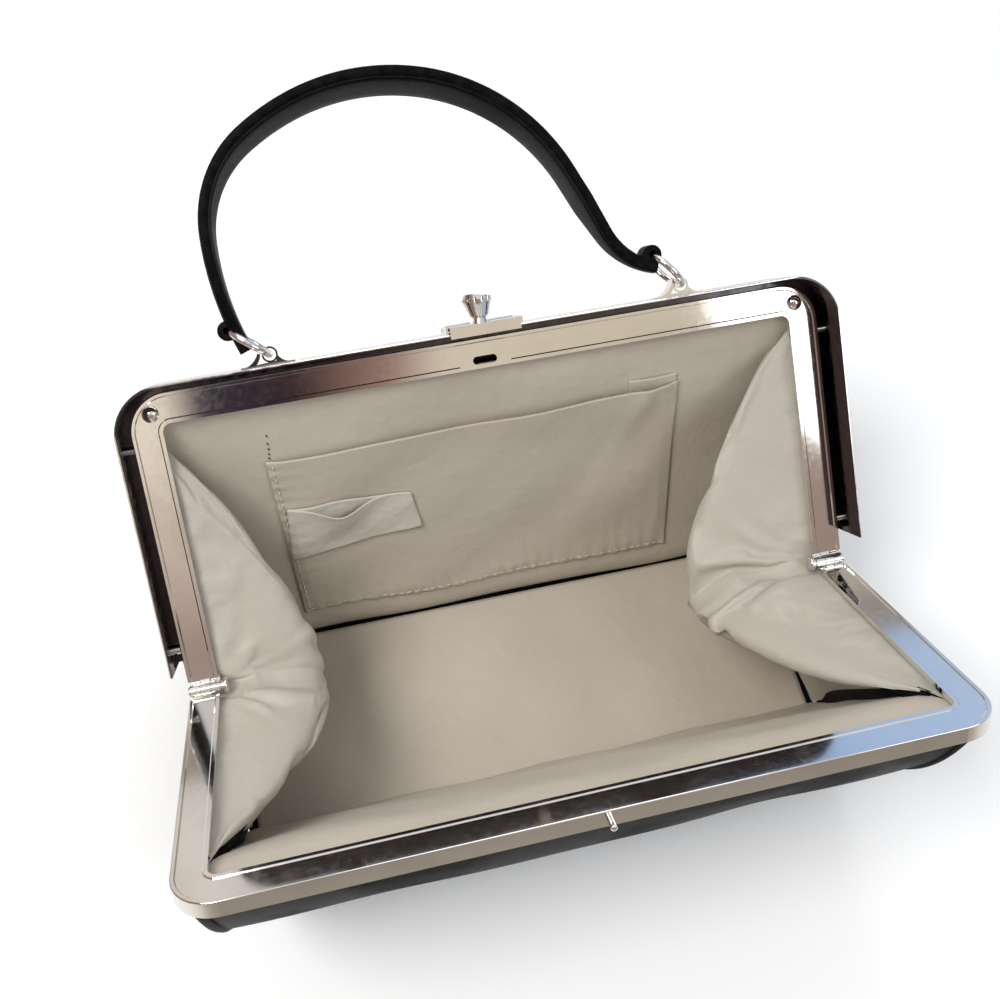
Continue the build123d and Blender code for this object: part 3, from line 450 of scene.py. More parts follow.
def cloth_material(name, color, stain, stain_scale, thread, rough, sheen):
    """Woven cloth: weave and fine unevenness as bump, soft stains as colour, a faint sheen."""
    material, tree, surface = new_material(name)
    marks = masks_of(tree, smudges, stain_scale)
    stained = compute(tree, "MULTIPLY", marks["Patches"], STAIN_SHARE)
    threads = masks_of(tree, weave, thread)
    woven = add_node(tree, "ShaderNodeBump", {"Height": threads["Height"],
                                              "Strength": 0.25, "Distance": thread * 0.25})
    uneven = add_node(tree, "ShaderNodeBump", {"Height": marks["Marks"], "Strength": 0.35,
                                               "Distance": 0.0004, "Normal": woven.outputs["Normal"]})
    feed(tree, surface, {"Base Color": color_mix(tree, stained, color, stain), "Roughness": rough,
                         "Specular IOR Level": 0.35, "Sheen Weight": sheen, "Sheen Roughness": 0.5,
                         "Normal": uneven.outputs["Normal"]})
    return material


lining = cloth_material("lining_cloth", LINING_COLOR, LINING_STAIN, 9, THREAD_WIDTH, 0.42, 0.10)
gusset_cloth = cloth_material("gusset_cloth", GUSSET_COLOR, LINING_COLOR, 12, THREAD_WIDTH, 0.36, 0.10)

wall_top = np.array([0, *jaw_point(1, 0, *WALL_TOP)[1:]])
wall_foot = np.array([0, *WALL_FOOT])
wall_length = np.linalg.norm(wall_foot - wall_top)
wall_down = (wall_foot - wall_top) / wall_length
wall_in = np.array([0, wall_down[2], -wall_down[1]])


def back_wall(x, drop, lift=0.0):
    """Points on the back wall's lining: x across, drop down the wall from its top edge, and lift
    off its surface.  The cloth waves softly, and tucks back under itself at the foot."""
    waves = soft_waves(x, drop, WALL_WAVE_SIZE, 7, 3) * WALL_WAVE
    puckers = np.sin(x * 2 * np.pi / PUCKER_PITCH + 2 * soft_waves(x, drop * 0, 0.05, 4, 5))
    puckers = puckers * PUCKER_HEIGHT * np.exp(-drop / PUCKER_REACH)
    tuck = np.clip((drop - TUCK_START) / (wall_length - TUCK_START), 0, 1) ** 2 * TUCK_DEPTH
    edge = np.clip(drop / FIRM_EDGE, 0, 1)
    off = (waves + puckers) * edge - tuck + LINING + lift
    return (np.multiply.outer(x, (1.0, 0, 0)) + wall_top + np.multiply.outer(drop, wall_down)
            + np.multiply.outer(off, wall_in))


SEAM_FIRM = 0.022


def follow_jaw(piece, side):
    """Bake a soft piece's transform into its own points; the point on its jaw is worked out but not
    used.
    """
    end = jaw_point(side, 0.0, SEAM_FIRM, 0.0)
    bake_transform(piece)


columns = np.linspace(-WALL_HALF, WALL_HALF, WALL_COLUMNS)
rows = np.linspace(0, wall_length, WALL_ROWS)
wall_x, wall_drop = np.meshgrid(columns, rows)
back_lining = grid_piece("back_lining_cloth", back_wall(wall_x, wall_drop), lining,
                         wall=LINING_WALL, flip=True)
follow_jaw(back_lining, 1)
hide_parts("back_lining")


def front_wall(x, run):
    """Points on the front wall's lining: run goes from the bar inward to a fold, and from there
    down to the bottom.  The log of one plus an exponential rounds the fold between the two."""
    start = jaw_point(-1, 0.0, WALL_TOP[0], WALL_TOP[1] + LINING / 2)
    corner = jaw_point(-1, 0.0, FOLD_AT, FOLD_OFF + LINING / 2)
    foot = np.array([0, -WALL_FOOT[0] + LINING, WALL_FOOT[1]])
    first = np.linalg.norm(corner - start)
    second = np.linalg.norm(foot - corner)
    way = run * (first + second)
    toward = (corner - start) / first
    down = (foot - corner) / second
    bent = FOLD_ROUND * np.log1p(np.exp((way - first) / FOLD_ROUND))
    straight = way - bent
    place = start + np.multiply.outer(straight, toward) + np.multiply.outer(bent, down)
    normal = np.array([0, -down[2], down[1]])
    off = soft_waves(x, way, 0.06, 6, 21) * FRONT_WAVE * np.clip(way / 0.02, 0, 1)
    return place + np.multiply.outer(x, (1.0, 0, 0)) + np.multiply.outer(off, normal), first + second


steps = np.linspace(0, 1, WALL_ROWS + 30)
wall_x, wall_run = np.meshgrid(columns, steps)
front_points, front_length = front_wall(wall_x, wall_run)
front_lining = grid_piece("front_lining_cloth", front_points, lining, wall=LINING_WALL)
follow_jaw(front_lining, -1)
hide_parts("front_lining")


# The bottom lining lies on a pressed board.  It is the same cloth, with a soft swell over the
# board's middle.
BOTTOM_HALF_X = 0.1165
BOTTOM_HALF_Y = 0.0395
BOTTOM_LEVEL = 0.0048
BOTTOM_SWELL, BOTTOM_WAVE = 0.0012, 0.0006
bottom_x, bottom_y = np.meshgrid(np.linspace(-BOTTOM_HALF_X, BOTTOM_HALF_X, 120),
                                 np.linspace(-BOTTOM_HALF_Y, BOTTOM_HALF_Y, 50))
swell = (np.clip(1 - (bottom_y / BOTTOM_HALF_Y) ** 4, 0, 1)
         * np.clip(1 - (bottom_x / BOTTOM_HALF_X) ** 6, 0, 1))
bottom_waves = soft_waves(bottom_x, bottom_y, 0.06, 6, 31)
bottom_z = BOTTOM_LEVEL + swell * (BOTTOM_SWELL + BOTTOM_WAVE * bottom_waves)
bottom_points = np.stack((bottom_x, bottom_y, bottom_z), axis=-1)
bottom_lining = grid_piece("bottom_lining_cloth", bottom_points, lining, wall=LINING_WALL)
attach(bottom_lining, "root")
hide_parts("bottom_lining")


# The gussets: one side panel at each end, clamped along both arms and pinched at the hinge, so
# that its spare width folds into the bag.  Lining and leather are two layers of one form.
GUSSET_RIM = 0.1183
GUSSET_TOP = 0.0965
GUSSET_OFF = -0.0037
REACH = {-1: 0.040, 1: 0.052}
CREST = 0.37
GUSSET_FLOOR = 0.0052
FOLD_SHARE = 0.12
SEAM_GAP = (0.0008, 0.0018)
HINGE_ROUND, HINGE_DIP = 0.0055, 0.35
FALL_POWER, EDGE_POWER, REACH_POWER, CREST_POWER = 1.6, 5, 1.8, 0.85
SPREAD_S, SPREAD_T = 0.085, 0.11
FAN_HEIGHT, FAN_SIZE = 0.0012, 0.045
VALLEY_DEPTH, VALLEY_ANGLE = 0.0014, 0.10
SLACK_WAVE, SLACK_SIZE = 0.0007, 0.030
CREST_BAND, CREST_AT, CREST_SPREAD = 0.20, -0.32, 0.40
PINCH_WIDTH, PINCH_LENGTH, PINCH_SHARE = 0.13, 0.45, 0.9


def lining_back_edge(t):
    """The line where the back wall's lining meets the gusset, as y and z for t from top to foot."""
    top = jaw_point(1, 0.0, GUSSET_TOP, GUSSET_OFF)
    return top[1] + (WALL_FOOT[0] - SEAM_GAP[0] - top[1]) * t, top[2] + (GUSSET_FLOOR - top[2]) * t


def lining_front_edge(t):
    """The line where the front wall's lining meets the gusset, over the fold behind the bar."""
    top = jaw_point(-1, 0.0, GUSSET_TOP, GUSSET_OFF)
    corner = jaw_point(-1, 0.0, FOLD_AT - 0.002, FOLD_OFF)
    foot = (0, -WALL_FOOT[0] + SEAM_GAP[1], GUSSET_FLOOR)
    return tuple(np.interp(t, (0, FOLD_SHARE, 1), (top[axis], corner[axis], foot[axis]))
                 for axis in (1, 2))


def gusset_surface(side, s, t):
    """A folded gusset as rows of ribs.  s runs along the arms, from -1 at the front corner over 0
    at the hinge to 1 at the back corner, and t runs down each rib from the arm to the bottom.
    A rib leaves the arm inward, crests, and falls back to the bottom seam: its inward part is a
    skewed half sine, and its fall is a power of t, slow at first.  Towards the two ends the ribs
    take the shape of the side seams."""
    near = np.abs(s)
    arm_back = jaw_point(1, 0.0, near * GUSSET_TOP, GUSSET_OFF)
    arm_front = jaw_point(-1, 0.0, near * GUSSET_TOP, GUSSET_OFF)
    arm = np.where((s >= 0)[..., None], arm_back, arm_front)
    arm[..., 2] -= np.exp(-(near * GUSSET_TOP / HINGE_ROUND) ** 2) * HINGE_ROUND * HINGE_DIP
    fall = t ** (FALL_POWER + near)
    foot_y = np.interp(s, (-1, 1), (lining_front_edge(1.0)[0], lining_back_edge(1.0)[0]))
    y = arm[..., 1] + (foot_y - arm[..., 1]) * fall
    z = arm[..., 2] + (GUSSET_FLOOR - arm[..., 2]) * fall
    for sign, edge in ((1, lining_back_edge), (-1, lining_front_edge)):
        edge_y, edge_z = edge(t)
        hold = np.clip(s * sign, 0, 1) ** EDGE_POWER
        y = y + hold * (edge_y - y)
        z = z + hold * (edge_z - z)
    skew = t ** (np.log(0.5) / np.log(CREST))
    inward = REACH[side] * (1 - near ** REACH_POWER) * np.sin(np.pi * skew) ** CREST_POWER
    return np.stack((side * (GUSSET_RIM - inward), y, z), axis=-1)


def surface_normals(points):
    """Unit normals of a grid of points, from its two sets of differences."""
    normals = np.cross(np.gradient(points, axis=1), np.gradient(points, axis=0))
    return normals / np.maximum(np.linalg.norm(normals, axis=2, keepdims=True), 1e-12)


def gusset_wrinkles(side, s, t):
    """How far the lining stands off its plain form before it is settled: folds that fan out from
    the pinched hinge, and slack waves that seed the crumpling."""
    away = np.hypot(s * SPREAD_S, t * SPREAD_T)
    bearing = np.arctan2(s * SPREAD_S, t * SPREAD_T + 0.002)
    fan = np.cos(bearing * 15 + 1.4 * np.sin(bearing * 5 + side))
    fan = fan * np.exp(-(away / FAN_SIZE) ** 2) * FAN_HEIGHT
    fan = fan * np.clip(away / 0.012, 0, 1)
    valley = -VALLEY_DEPTH * np.exp(-(bearing / VALLEY_ANGLE) ** 2) * np.clip(away / 0.01, 0, 1)
    valley = valley * np.clip(1 - t / 0.75, 0, 1)
    slack = soft_waves(s * 0.09, t * 0.13, SLACK_SIZE, 9, 50 + side) * SLACK_WAVE
    hem = np.clip(t / 0.06, 0, 1) * np.clip((1 - t) / 0.1, 0, 1)
    hem = hem * np.clip((1 - np.abs(s)) / 0.08, 0, 1)
    return (fan + valley + slack) * hem


def crumple_share(s, t):
    """Where the cloth is too long for its place, from 0 to 1: round the crest from the hinge line
    to the front, and in a band that runs from the hinge to the tip of the fold."""
    crest = np.exp(-((t - CREST) / CREST_BAND) ** 2) * np.exp(-((s - CREST_AT) / CREST_SPREAD) ** 2)
    pinch = np.exp(-(s / PINCH_WIDTH) ** 2) * np.clip(t / 0.04, 0, 1) * np.exp(-(t / PINCH_LENGTH) ** 2)
    return np.clip(crest + PINCH_SHARE * pinch, 0, 1)


SETTLE_FRAMES = 20
GROWTH = 0.15
LEAST_GROWTH = 0.012
MOST_SHIFT = 0.0060
MOST_SINK = 0.0016
TUCKED_RIBS = 3
TUCKED_UNDER = 0.0004


def settle(points, share):
    """Let a grid of cloth find its own folds.  Its four edges are held, it grows a little where the
    share is high, and the spare cloth buckles.  No point moves further than MOST_SHIFT."""
    index, faces = grid_faces(*points.shape[:2])
    mesh = bpy.data.meshes.new("settling")
    mesh.from_pydata(points.reshape(-1, 3).tolist(), [], faces.tolist())
    piece = new_object("settling", mesh)
    held = piece.vertex_groups.new(name="held")
    border = np.concatenate((index[0], index[-1], index[:, 0], index[:, -1]))
    held.add(np.unique(border).tolist(), 1.0, "REPLACE")
    stiff = piece.vertex_groups.new(name="stiff")
    levels = np.round((1 - share.reshape(-1)) * 20) / 20
    for level in np.unique(levels):
        stiff.add(np.flatnonzero(levels == level).tolist(), float(level), "REPLACE")
    cloth = piece.modifiers.new("cloth", "CLOTH")
    settings = cloth.settings
    settings.quality = 5
    settings.mass = 0.15
    settings.tension_stiffness = settings.compression_stiffness = 25
    settings.shear_stiffness = 10
    settings.bending_stiffness = 0.12
    settings.air_damping = 2
    settings.vertex_group_mass = "held"
    settings.vertex_group_shrink = "stiff"
    settings.shrink_min = -GROWTH
    settings.shrink_max = -LEAST_GROWTH
    settings.effector_weights.gravity = 0
    cloth.collision_settings.use_collision = False
    cloth.point_cache.frame_end = SETTLE_FRAMES
    for frame_number in range(1, SETTLE_FRAMES + 1):
        bpy.context.scene.frame_set(frame_number)
    settled = piece.evaluated_get(bpy.context.evaluated_depsgraph_get())
    places = np.empty(points.size)
    settled.data.vertices.foreach_get("co", places)
    bpy.data.objects.remove(piece)
    bpy.data.meshes.remove(mesh)
    bpy.context.scene.frame_set(1)
    shift = places.reshape(points.shape) - points
    length = np.maximum(np.linalg.norm(shift, axis=2, keepdims=True), 1e-9)
    return points + shift * np.tanh(length / MOST_SHIFT) * MOST_SHIFT / length


RIBS = 56
RIB_POINTS = 76


def two_lobes(points, normals):
    """A gusset layer as its back and its front half.  The front one runs on for a few ribs, tucked
    just under the back one."""
    front = points[:, :RIBS + TUCKED_RIBS].copy()
    front[:, RIBS:] -= normals[:, RIBS:RIBS + TUCKED_RIBS] * TUCKED_UNDER
    return (1, "back", points[:, RIBS - 1:]), (-1, "front", front)


drops = np.linspace(0, 1, RIB_POINTS) ** 1.2
whole = np.linspace(-1, 1, 2 * RIBS - 1)
gusset_s, gusset_t = np.meshgrid(whole, drops)
gusset_forms = {}

for side, name in ((-1, "left"), (1, "right")):
    points = gusset_surface(side, gusset_s, gusset_t)
    normals = surface_normals(points)
    normals = normals * np.sign(-side * normals[..., :1].mean())
    gusset_forms[side] = points, normals
    slack = points + normals * gusset_wrinkles(side, gusset_s, gusset_t)[..., None]
    slack = settle(slack, crumple_share(gusset_s, gusset_t))
    rise = np.sum((slack - points) * normals, axis=2, keepdims=True)
    kept = np.where(rise < 0, np.tanh(rise / MOST_SINK) * MOST_SINK, rise)
    slack = slack + normals * (kept - rise)
    for jaw, half_name, lobe in two_lobes(slack, normals):
        cloth = grid_piece(f"{name}_gusset_lining_{half_name}", lobe, gusset_cloth,
                           wall=LINING * 0.6, flip=side < 0, levels=1)
        follow_jaw(cloth, jaw)
        if jaw > 0:
            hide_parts(f"{name}_gusset_lining")
        width, length = sheet_size(lobe)


# Outer leather: smooth black calf with a fine grain.  Front and back panels hang from the bars
# in a bow, the gussets fold in between them, and a piped seam runs down each side.
LEATHER = 0.0016
LEATHER_COLOR = (0.0030, 0.0029, 0.0031, 1)
LEATHER_WORN = (0.0075, 0.0070, 0.0068, 1)
PANEL_TOP = 0.1000
PANEL_TUCK = -0.0028
PANEL_HALF = 0.1186
PANEL_FOOT = (0.0426, 0.0024)
PANEL_SAG = 0.0008
BULGE = {1: 0.013, -1: 0.0178}
LEATHER_MARKS = 22
PIPING_RADIUS = 0.0016
PIPING_OUT = 0.0012
PIPING_ENDS = (0.02, 0.99)


def grain_group():
    """Leather grain: small uneven cells with soft creases between them."""
    group, scale = pattern_group("grain", "Scale", "Height")
    cells = add_node(group, "ShaderNodeTexVoronoi",
                     {"Vector": add_node(group, "ShaderNodeTexCoord").outputs["Object"],
                      "Scale": scale, "Randomness": 1}, feature="DISTANCE_TO_EDGE")
    soft = add_node(group, "ShaderNodeMapRange",
                    {"Value": cells.outputs["Distance"], "From Max": 0.25},
                    interpolation_type="SMOOTHSTEP")
    add_node(group, "NodeGroupOutput", {"Height": soft.outputs["Result"]})
    return group


grain = grain_group()


def leather_material(name, scale, rough):
    """Dyed leather: grain as bump, and greyer where it is rubbed."""
    material, tree, surface = new_material(name)
    marks = masks_of(tree, smudges, LEATHER_MARKS)
    cells = masks_of(tree, grain, scale)
    bump = add_node(tree, "ShaderNodeBump", {"Height": cells["Height"],
                                             "Strength": 0.30, "Distance": 0.0002})
    uneven = ranged(tree, marks["Patches"], 0.0, 1.0, rough - 0.06, rough + 0.12)
    feed(tree, surface, {"Base Color": color_mix(tree, marks["Marks"], LEATHER_COLOR, LEATHER_WORN),
                         "Roughness": uneven, "Specular IOR Level": 0.04,
                         "Normal": bump.outputs["Normal"]})
    return material


leather = leather_material("black_calf", 1500, 0.46)


def panel_bow(side, share, offset=0.0):
    """y and z of a panel's bow: an arc from the bar to the bottom seam that stands off its chord
    by the bulge, moved outward by an offset.  Share runs from 0 at the top to 1 at the foot."""
    top = jaw_point(1, 0.0, PANEL_TOP, PANEL_TUCK)[1:]
    foot = np.array(PANEL_FOOT)
    chord = foot - top
    length = np.linalg.norm(chord)
    outward = np.array((-chord[1], chord[0])) / length
    bulge = BULGE[side]
    radius = (length ** 2 / 4 + bulge ** 2) / (2 * bulge)
    centre = (top + foot) / 2 - outward * (radius - bulge)
    start = np.arctan2(top[1] - centre[1], top[0] - centre[0])
    end = np.arctan2(foot[1] - centre[1], foot[0] - centre[0])
    angle = start + (end - start) * share
    out = radius + offset
    return side * (centre[0] + np.cos(angle) * out), centre[1] + np.sin(angle) * out


def tube_piece(name, path, radius, material, sides=10):
    """A round tube along a path: rings of points square to the path, closed by flat caps."""
    ahead = np.gradient(path, axis=0)
    ahead = ahead / np.linalg.norm(ahead, axis=1, keepdims=True)
    helper = np.cross(ahead, (1.0, 0.0, 0.0))
    weak = np.linalg.norm(helper, axis=1) < 0.2
    helper[weak] = np.cross(ahead[weak], (0.0, 0.0, 1.0))
    helper = helper / np.linalg.norm(helper, axis=1, keepdims=True)
    other = np.cross(ahead, helper)
    turn = np.linspace(0, 2 * np.pi, sides, endpoint=False)
    ring = np.cos(turn)[None, :, None] * helper[:, None] + np.sin(turn)[None, :, None] * other[:, None]
    points = path[:, None] + ring * radius
    rows = len(path)
    index = np.arange(rows * sides).reshape(rows, sides)
    following = np.roll(index, -1, axis=1)
    faces = np.stack((index[:-1], index[1:], following[1:], following[:-1]), axis=-1).reshape(-1, 4)
    caps = [index[0].tolist(), index[-1][::-1].tolist()]
    return mesh_piece(name, points, faces.tolist() + caps, material)


for side, node, body in ((1, "back_panel", "back"), (-1, "front_panel", "front")):
    x, share = np.meshgrid(np.linspace(-PANEL_HALF, PANEL_HALF, 140), np.linspace(0, 1, 90))
    sag = soft_waves(x, share * 0.13, 0.10, 6, 60 + side) * PANEL_SAG * np.sin(np.pi * share)
    y, z = panel_bow(side, share, LEATHER / 2 + sag)
    panel = grid_piece(f"{body}_panel_leather", np.stack((x, y, z), axis=-1), leather,
                       wall=LEATHER, flip=side < 0)
    follow_jaw(panel, side)
    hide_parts(node)
    length = float(np.linalg.norm(np.diff(np.stack((y, z), -1)[:, 0], axis=0), axis=1).sum())


# The gussets' leather lies under their lining.  At the frame's corners it goes out and down beneath
# the bars, and along the side seams it joins the panels at a piped edge.
LAYER_DEPTH = 0.0036
LEATHER_FLOOR = 0.0022
CORNER_OUT, CORNER_BACK, CORNER_DOWN = 0.36, 0.45, -0.82
SEAM_START = 0.3
SEAM_POWER, CORNER_POWER = 14, 6
seam_hold = np.abs(gusset_s) ** SEAM_POWER
bow_shares = np.linspace(1, 0, 200)

for side, name in ((-1, "left"), (1, "right")):
    lining_form, lining_normals = gusset_forms[side]
    out_and_down = np.stack(np.broadcast_arrays(CORNER_OUT * side, CORNER_BACK * np.sign(gusset_s),
                                                CORNER_DOWN), axis=-1)
    near_seam = (np.abs(gusset_s) ** CORNER_POWER)[..., None]
    beneath = out_and_down * near_seam - lining_normals * (1 - near_seam)
    points = lining_form + beneath * LAYER_DEPTH
    for jaw in (1, -1):
        bow_y, bow_z = panel_bow(jaw, bow_shares)
        hold = seam_hold * (gusset_s * jaw > 0) * np.clip(gusset_t / SEAM_START, 0, 1)
        points[..., 1] += hold * (np.interp(points[..., 2], bow_z, bow_y) - points[..., 1])
    points[..., 2] = np.maximum(points[..., 2], LEATHER_FLOOR)
    for jaw, half_name, lobe in two_lobes(points, lining_normals):
        skin = grid_piece(f"{name}_gusset_leather_{half_name}", lobe, leather,
                          wall=LEATHER * 0.7, flip=side < 0)
        follow_jaw(skin, jaw)
        if jaw > 0:
            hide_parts(f"{name}_gusset")
        width, length = sheet_size(lobe)
        y, z = panel_bow(jaw, np.linspace(*PIPING_ENDS, 60))
        path = np.stack((np.full_like(y, side * (PANEL_HALF + PIPING_OUT)), y, z), axis=-1)
        piping = tube_piece(f"{name}_side_piping_{half_name}", path, PIPING_RADIUS, leather)
        follow_jaw(piping, jaw)


# The bottom panel is plain leather, and the board above it is pressed fibre.  Both are the
# frame's own solids, and only their finish is given here.
finish_node("bottom_panel", leather)
BOARD_COLOR = (0.34, 0.27, 0.20, 1)
board = cloth_material("pressed_board", BOARD_COLOR, LINING_STAIN, 30, 0.0008, 0.8, 0.0)
finish_node("bottom_board", board)


# The pocket: a patch of the lining cloth with a hemmed mouth, sewn to the back wall down its left
# side and along its foot, with a small pleat at the right of its mouth.
POCKET_LEFT, POCKET_RIGHT = -0.0838, 0.0737
POCKET_TOP_LEFT, POCKET_TOP_RIGHT = 0.0262, 0.0226
POCKET_FOOT = 0.1130
POCKET_OPEN = 0.0022
STITCH_INSET = 0.0022
STITCH_LENGTH = 0.0024
STITCH_PITCH = 0.0034
STITCH_RADIUS = 0.00030
SIDE_STITCHES = (0.002, 0.084)
POCKET_DEPTH = 0.0885
POCKET_CLOTH = 0.0006
POCKET_REST = 0.0009
POCKET_SLACK, POCKET_FOLD = 0.0011, 0.0012
FOOT_PUCKER, SIDE_PUCKER = 0.00028, 0.00020
THREAD_COLOR = (0.66, 0.60, 0.49, 1)
DARK_THREAD = (0.02, 0.02, 0.02, 1)
THREAD_MARKS = 120


pocket_width = POCKET_RIGHT - POCKET_LEFT
mouth_slope = POCKET_TOP_RIGHT - POCKET_TOP_LEFT


def pocket_place(u, v):
    """x across and drop down the wall for the pocket's own u and v, both from 0 to 1."""
    mouth = POCKET_TOP_LEFT + mouth_slope * u
    return POCKET_LEFT + pocket_width * u, mouth + (POCKET_FOOT - mouth) * v


def pocket_lift(u, v):
    """How far the pocket stands off the wall: open at the mouth, pressed flat at its seams, with
    small puckers along the sewn edges."""
    mouth = np.sin(np.pi * np.clip(u, 0, 1)) ** 0.7 * np.exp(-v / 0.22) * POCKET_OPEN
    slack = (0.7 + 0.5 * soft_waves(u * 0.157, v * 0.09, 0.05, 6, 71)) * POCKET_SLACK
    seam = np.clip(u / 0.03, 0, 1) * np.clip((1 - u) / 0.03, 0, 1) * np.clip((1 - v) / 0.06, 0, 1)
    foot_pucker = np.sin(u * 2 * np.pi * 24 + 2 * np.sin(u * 21)) * FOOT_PUCKER
    foot_pucker = foot_pucker * np.exp(-((1 - v) / 0.09))
    side_pucker = np.sin(v * 2 * np.pi * 15) * SIDE_PUCKER * np.exp(-(u / 0.04))
    fold = POCKET_FOLD * np.exp(-((u - 0.93 + 0.25 * v) / 0.035) ** 2) * np.exp(-v / 0.35)
    return POCKET_REST + mouth + slack * seam + foot_pucker + side_pucker + fold


u, v = np.meshgrid(np.linspace(0, 1, 200), np.linspace(0, 1, 110))
x, drop = pocket_place(u, v)
pocket = grid_piece("patch_pocket", back_wall(x, drop, pocket_lift(u, v)), lining,
                    wall=POCKET_CLOTH, flip=True)
follow_jaw(pocket, 1)
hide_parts("inner_pocket")


def plain_material(name, color, rough):
    """Thread and other small plain stuff, a little uneven in colour."""
    material, tree, surface = new_material(name)
    marks = masks_of(tree, smudges, THREAD_MARKS)
    darker = tuple(0.7 * part for part in color[:3]) + (1,)
    color = color_mix(tree, marks["Patches"], color, darker)
    feed(tree, surface, {"Base Color": color, "Roughness": rough})
    return material


def stitch_piece(name, starts, ends, lift, radius, material):
    """A row of sewn stitches: each is a short four-sided bead from its start to its end, highest
    in the middle, where lift is the way up off the cloth."""
    ahead = ends - starts
    ahead = ahead / np.linalg.norm(ahead, axis=1, keepdims=True)
    beside = np.cross(ahead, lift)
    beside = beside / np.linalg.norm(beside, axis=1, keepdims=True)
    shares = np.array((0.0, 0.2, 0.5, 0.8, 1.0))
    heights = np.array((-0.4, 0.7, 1.0, 0.7, -0.4))
    widths = np.array((0.35, 0.9, 1.0, 0.9, 0.35))
    rings = []
    for share, height, width in zip(shares, heights, widths):
        middle = starts + (ends - starts) * share + lift * (height * radius)
        around = [beside * width, lift * width, -beside * width, -lift * width]
        rings.append(np.stack([middle + way * radius for way in around], axis=1))
    points = np.stack(rings, axis=1)
    count = len(starts)
    index = np.arange(count * 20).reshape(count, 5, 4)
    following = np.roll(index, -1, axis=2)
    sides = np.stack((index[:, :-1], following[:, :-1], following[:, 1:], index[:, 1:]), axis=-1)
    caps = np.concatenate((index[:, 0, ::-1], index[:, -1]))
    faces = np.concatenate((sides.reshape(-1, 4), caps))
    return mesh_piece(name, points, faces.tolist(), material)


thread = plain_material("lining_thread", THREAD_COLOR, 0.7)
foot_starts = np.arange(STITCH_INSET, pocket_width - STITCH_LENGTH, STITCH_PITCH)
foot_u = np.stack((foot_starts, foot_starts + STITCH_LENGTH)) / pocket_width
foot_v = np.full_like(foot_u, 1 - STITCH_INSET / POCKET_DEPTH)
side_starts = np.arange(*SIDE_STITCHES, STITCH_PITCH)
side_v = np.stack((side_starts, side_starts + STITCH_LENGTH)) / POCKET_DEPTH
side_u = np.full_like(side_v, STITCH_INSET / pocket_width)
sewn_u = np.concatenate((foot_u, side_u), axis=1)
sewn_v = np.concatenate((foot_v, side_v), axis=1)
sewn_x, sewn_drop = pocket_place(sewn_u, sewn_v)
sewn = back_wall(sewn_x, sewn_drop, pocket_lift(sewn_u, sewn_v) + 0.0001)
pocket_stitches = stitch_piece("pocket_stitches", *sewn, wall_in, STITCH_RADIUS, thread)
follow_jaw(pocket_stitches, 1)


# The pleat: at its right end the pocket's mouth is folded into a small pleat of the same cloth,
# which stands a little above it.
PLEAT_LEFT, PLEAT_RIGHT = 0.0544, 0.0732
PLEAT_HEIGHT, PLEAT_RISE, PLEAT_CLOTH = 0.0102, 0.0034, 0.0005
PLEAT_REST, PLEAT_LIFT = 0.0004, 0.0008
u, v = np.meshgrid(np.linspace(0, 1, 30), np.linspace(0, 1, 12))
pleat_x = PLEAT_LEFT + (PLEAT_RIGHT - PLEAT_LEFT) * u
pleat_mouth = POCKET_TOP_LEFT + mouth_slope * (pleat_x - POCKET_LEFT) / pocket_width
pleat_drop = pleat_mouth - PLEAT_RISE + PLEAT_HEIGHT * v
pleat_lift = PLEAT_REST + PLEAT_LIFT * np.sin(np.pi * u) * (1 - v)
pleat = grid_piece("pocket_pleat", back_wall(pleat_x, pleat_drop, pleat_lift), lining,
                   wall=PLEAT_CLOTH, flip=True)
follow_jaw(pleat, 1)


# The dark stitches: five short black stitches in a row in the back wall's lining, just above the
# pocket's left corner.
DARK_STITCH_RADIUS = 0.00028
dark_thread = plain_material("dark_thread", DARK_THREAD, 0.6)
dark_drop = np.array((0.0145, 0.0180, 0.0205, 0.0228, 0.0247))
dark_x = np.array((-0.0811, -0.0814, -0.0815, -0.0818, -0.0821))
dark_start = back_wall(dark_x, dark_drop, 0.0002)
dark_end = back_wall(dark_x + 0.0002, dark_drop + 0.0009, 0.0002)
dark_stitches = stitch_piece("dark_stitches", dark_start, dark_end, wall_in,
                             DARK_STITCH_RADIUS, dark_thread)
follow_jaw(dark_stitches, 1)


# The label: a bare strip of off-white woven tape, folded double.  Its left end is caught in the
# pocket's side seam, and its front layer gapes at the top.
LABEL_COLOR = (0.56, 0.53, 0.465, 1)
LABEL_LEFT, LABEL_RIGHT = -0.0818, -0.0316
LABEL_TOP, LABEL_FOOT = 0.0520, 0.0755
GAPE_CENTRE, GAPE_WIDTH = 0.42, 0.20
LABEL_REST, LABEL_FLARE, LABEL_WAVE = 0.0011, 0.0028, 0.0002
LABEL_CLOTH = 0.00035
LABEL_LAYERS = (("label_back_layer", 0.0002, -0.0015), ("label_front_layer", 0.0045, 0.0042))
label_cloth = cloth_material("woven_tape", LABEL_COLOR, LINING_COLOR, 20, LABEL_CLOTH, 0.6, 0.1)


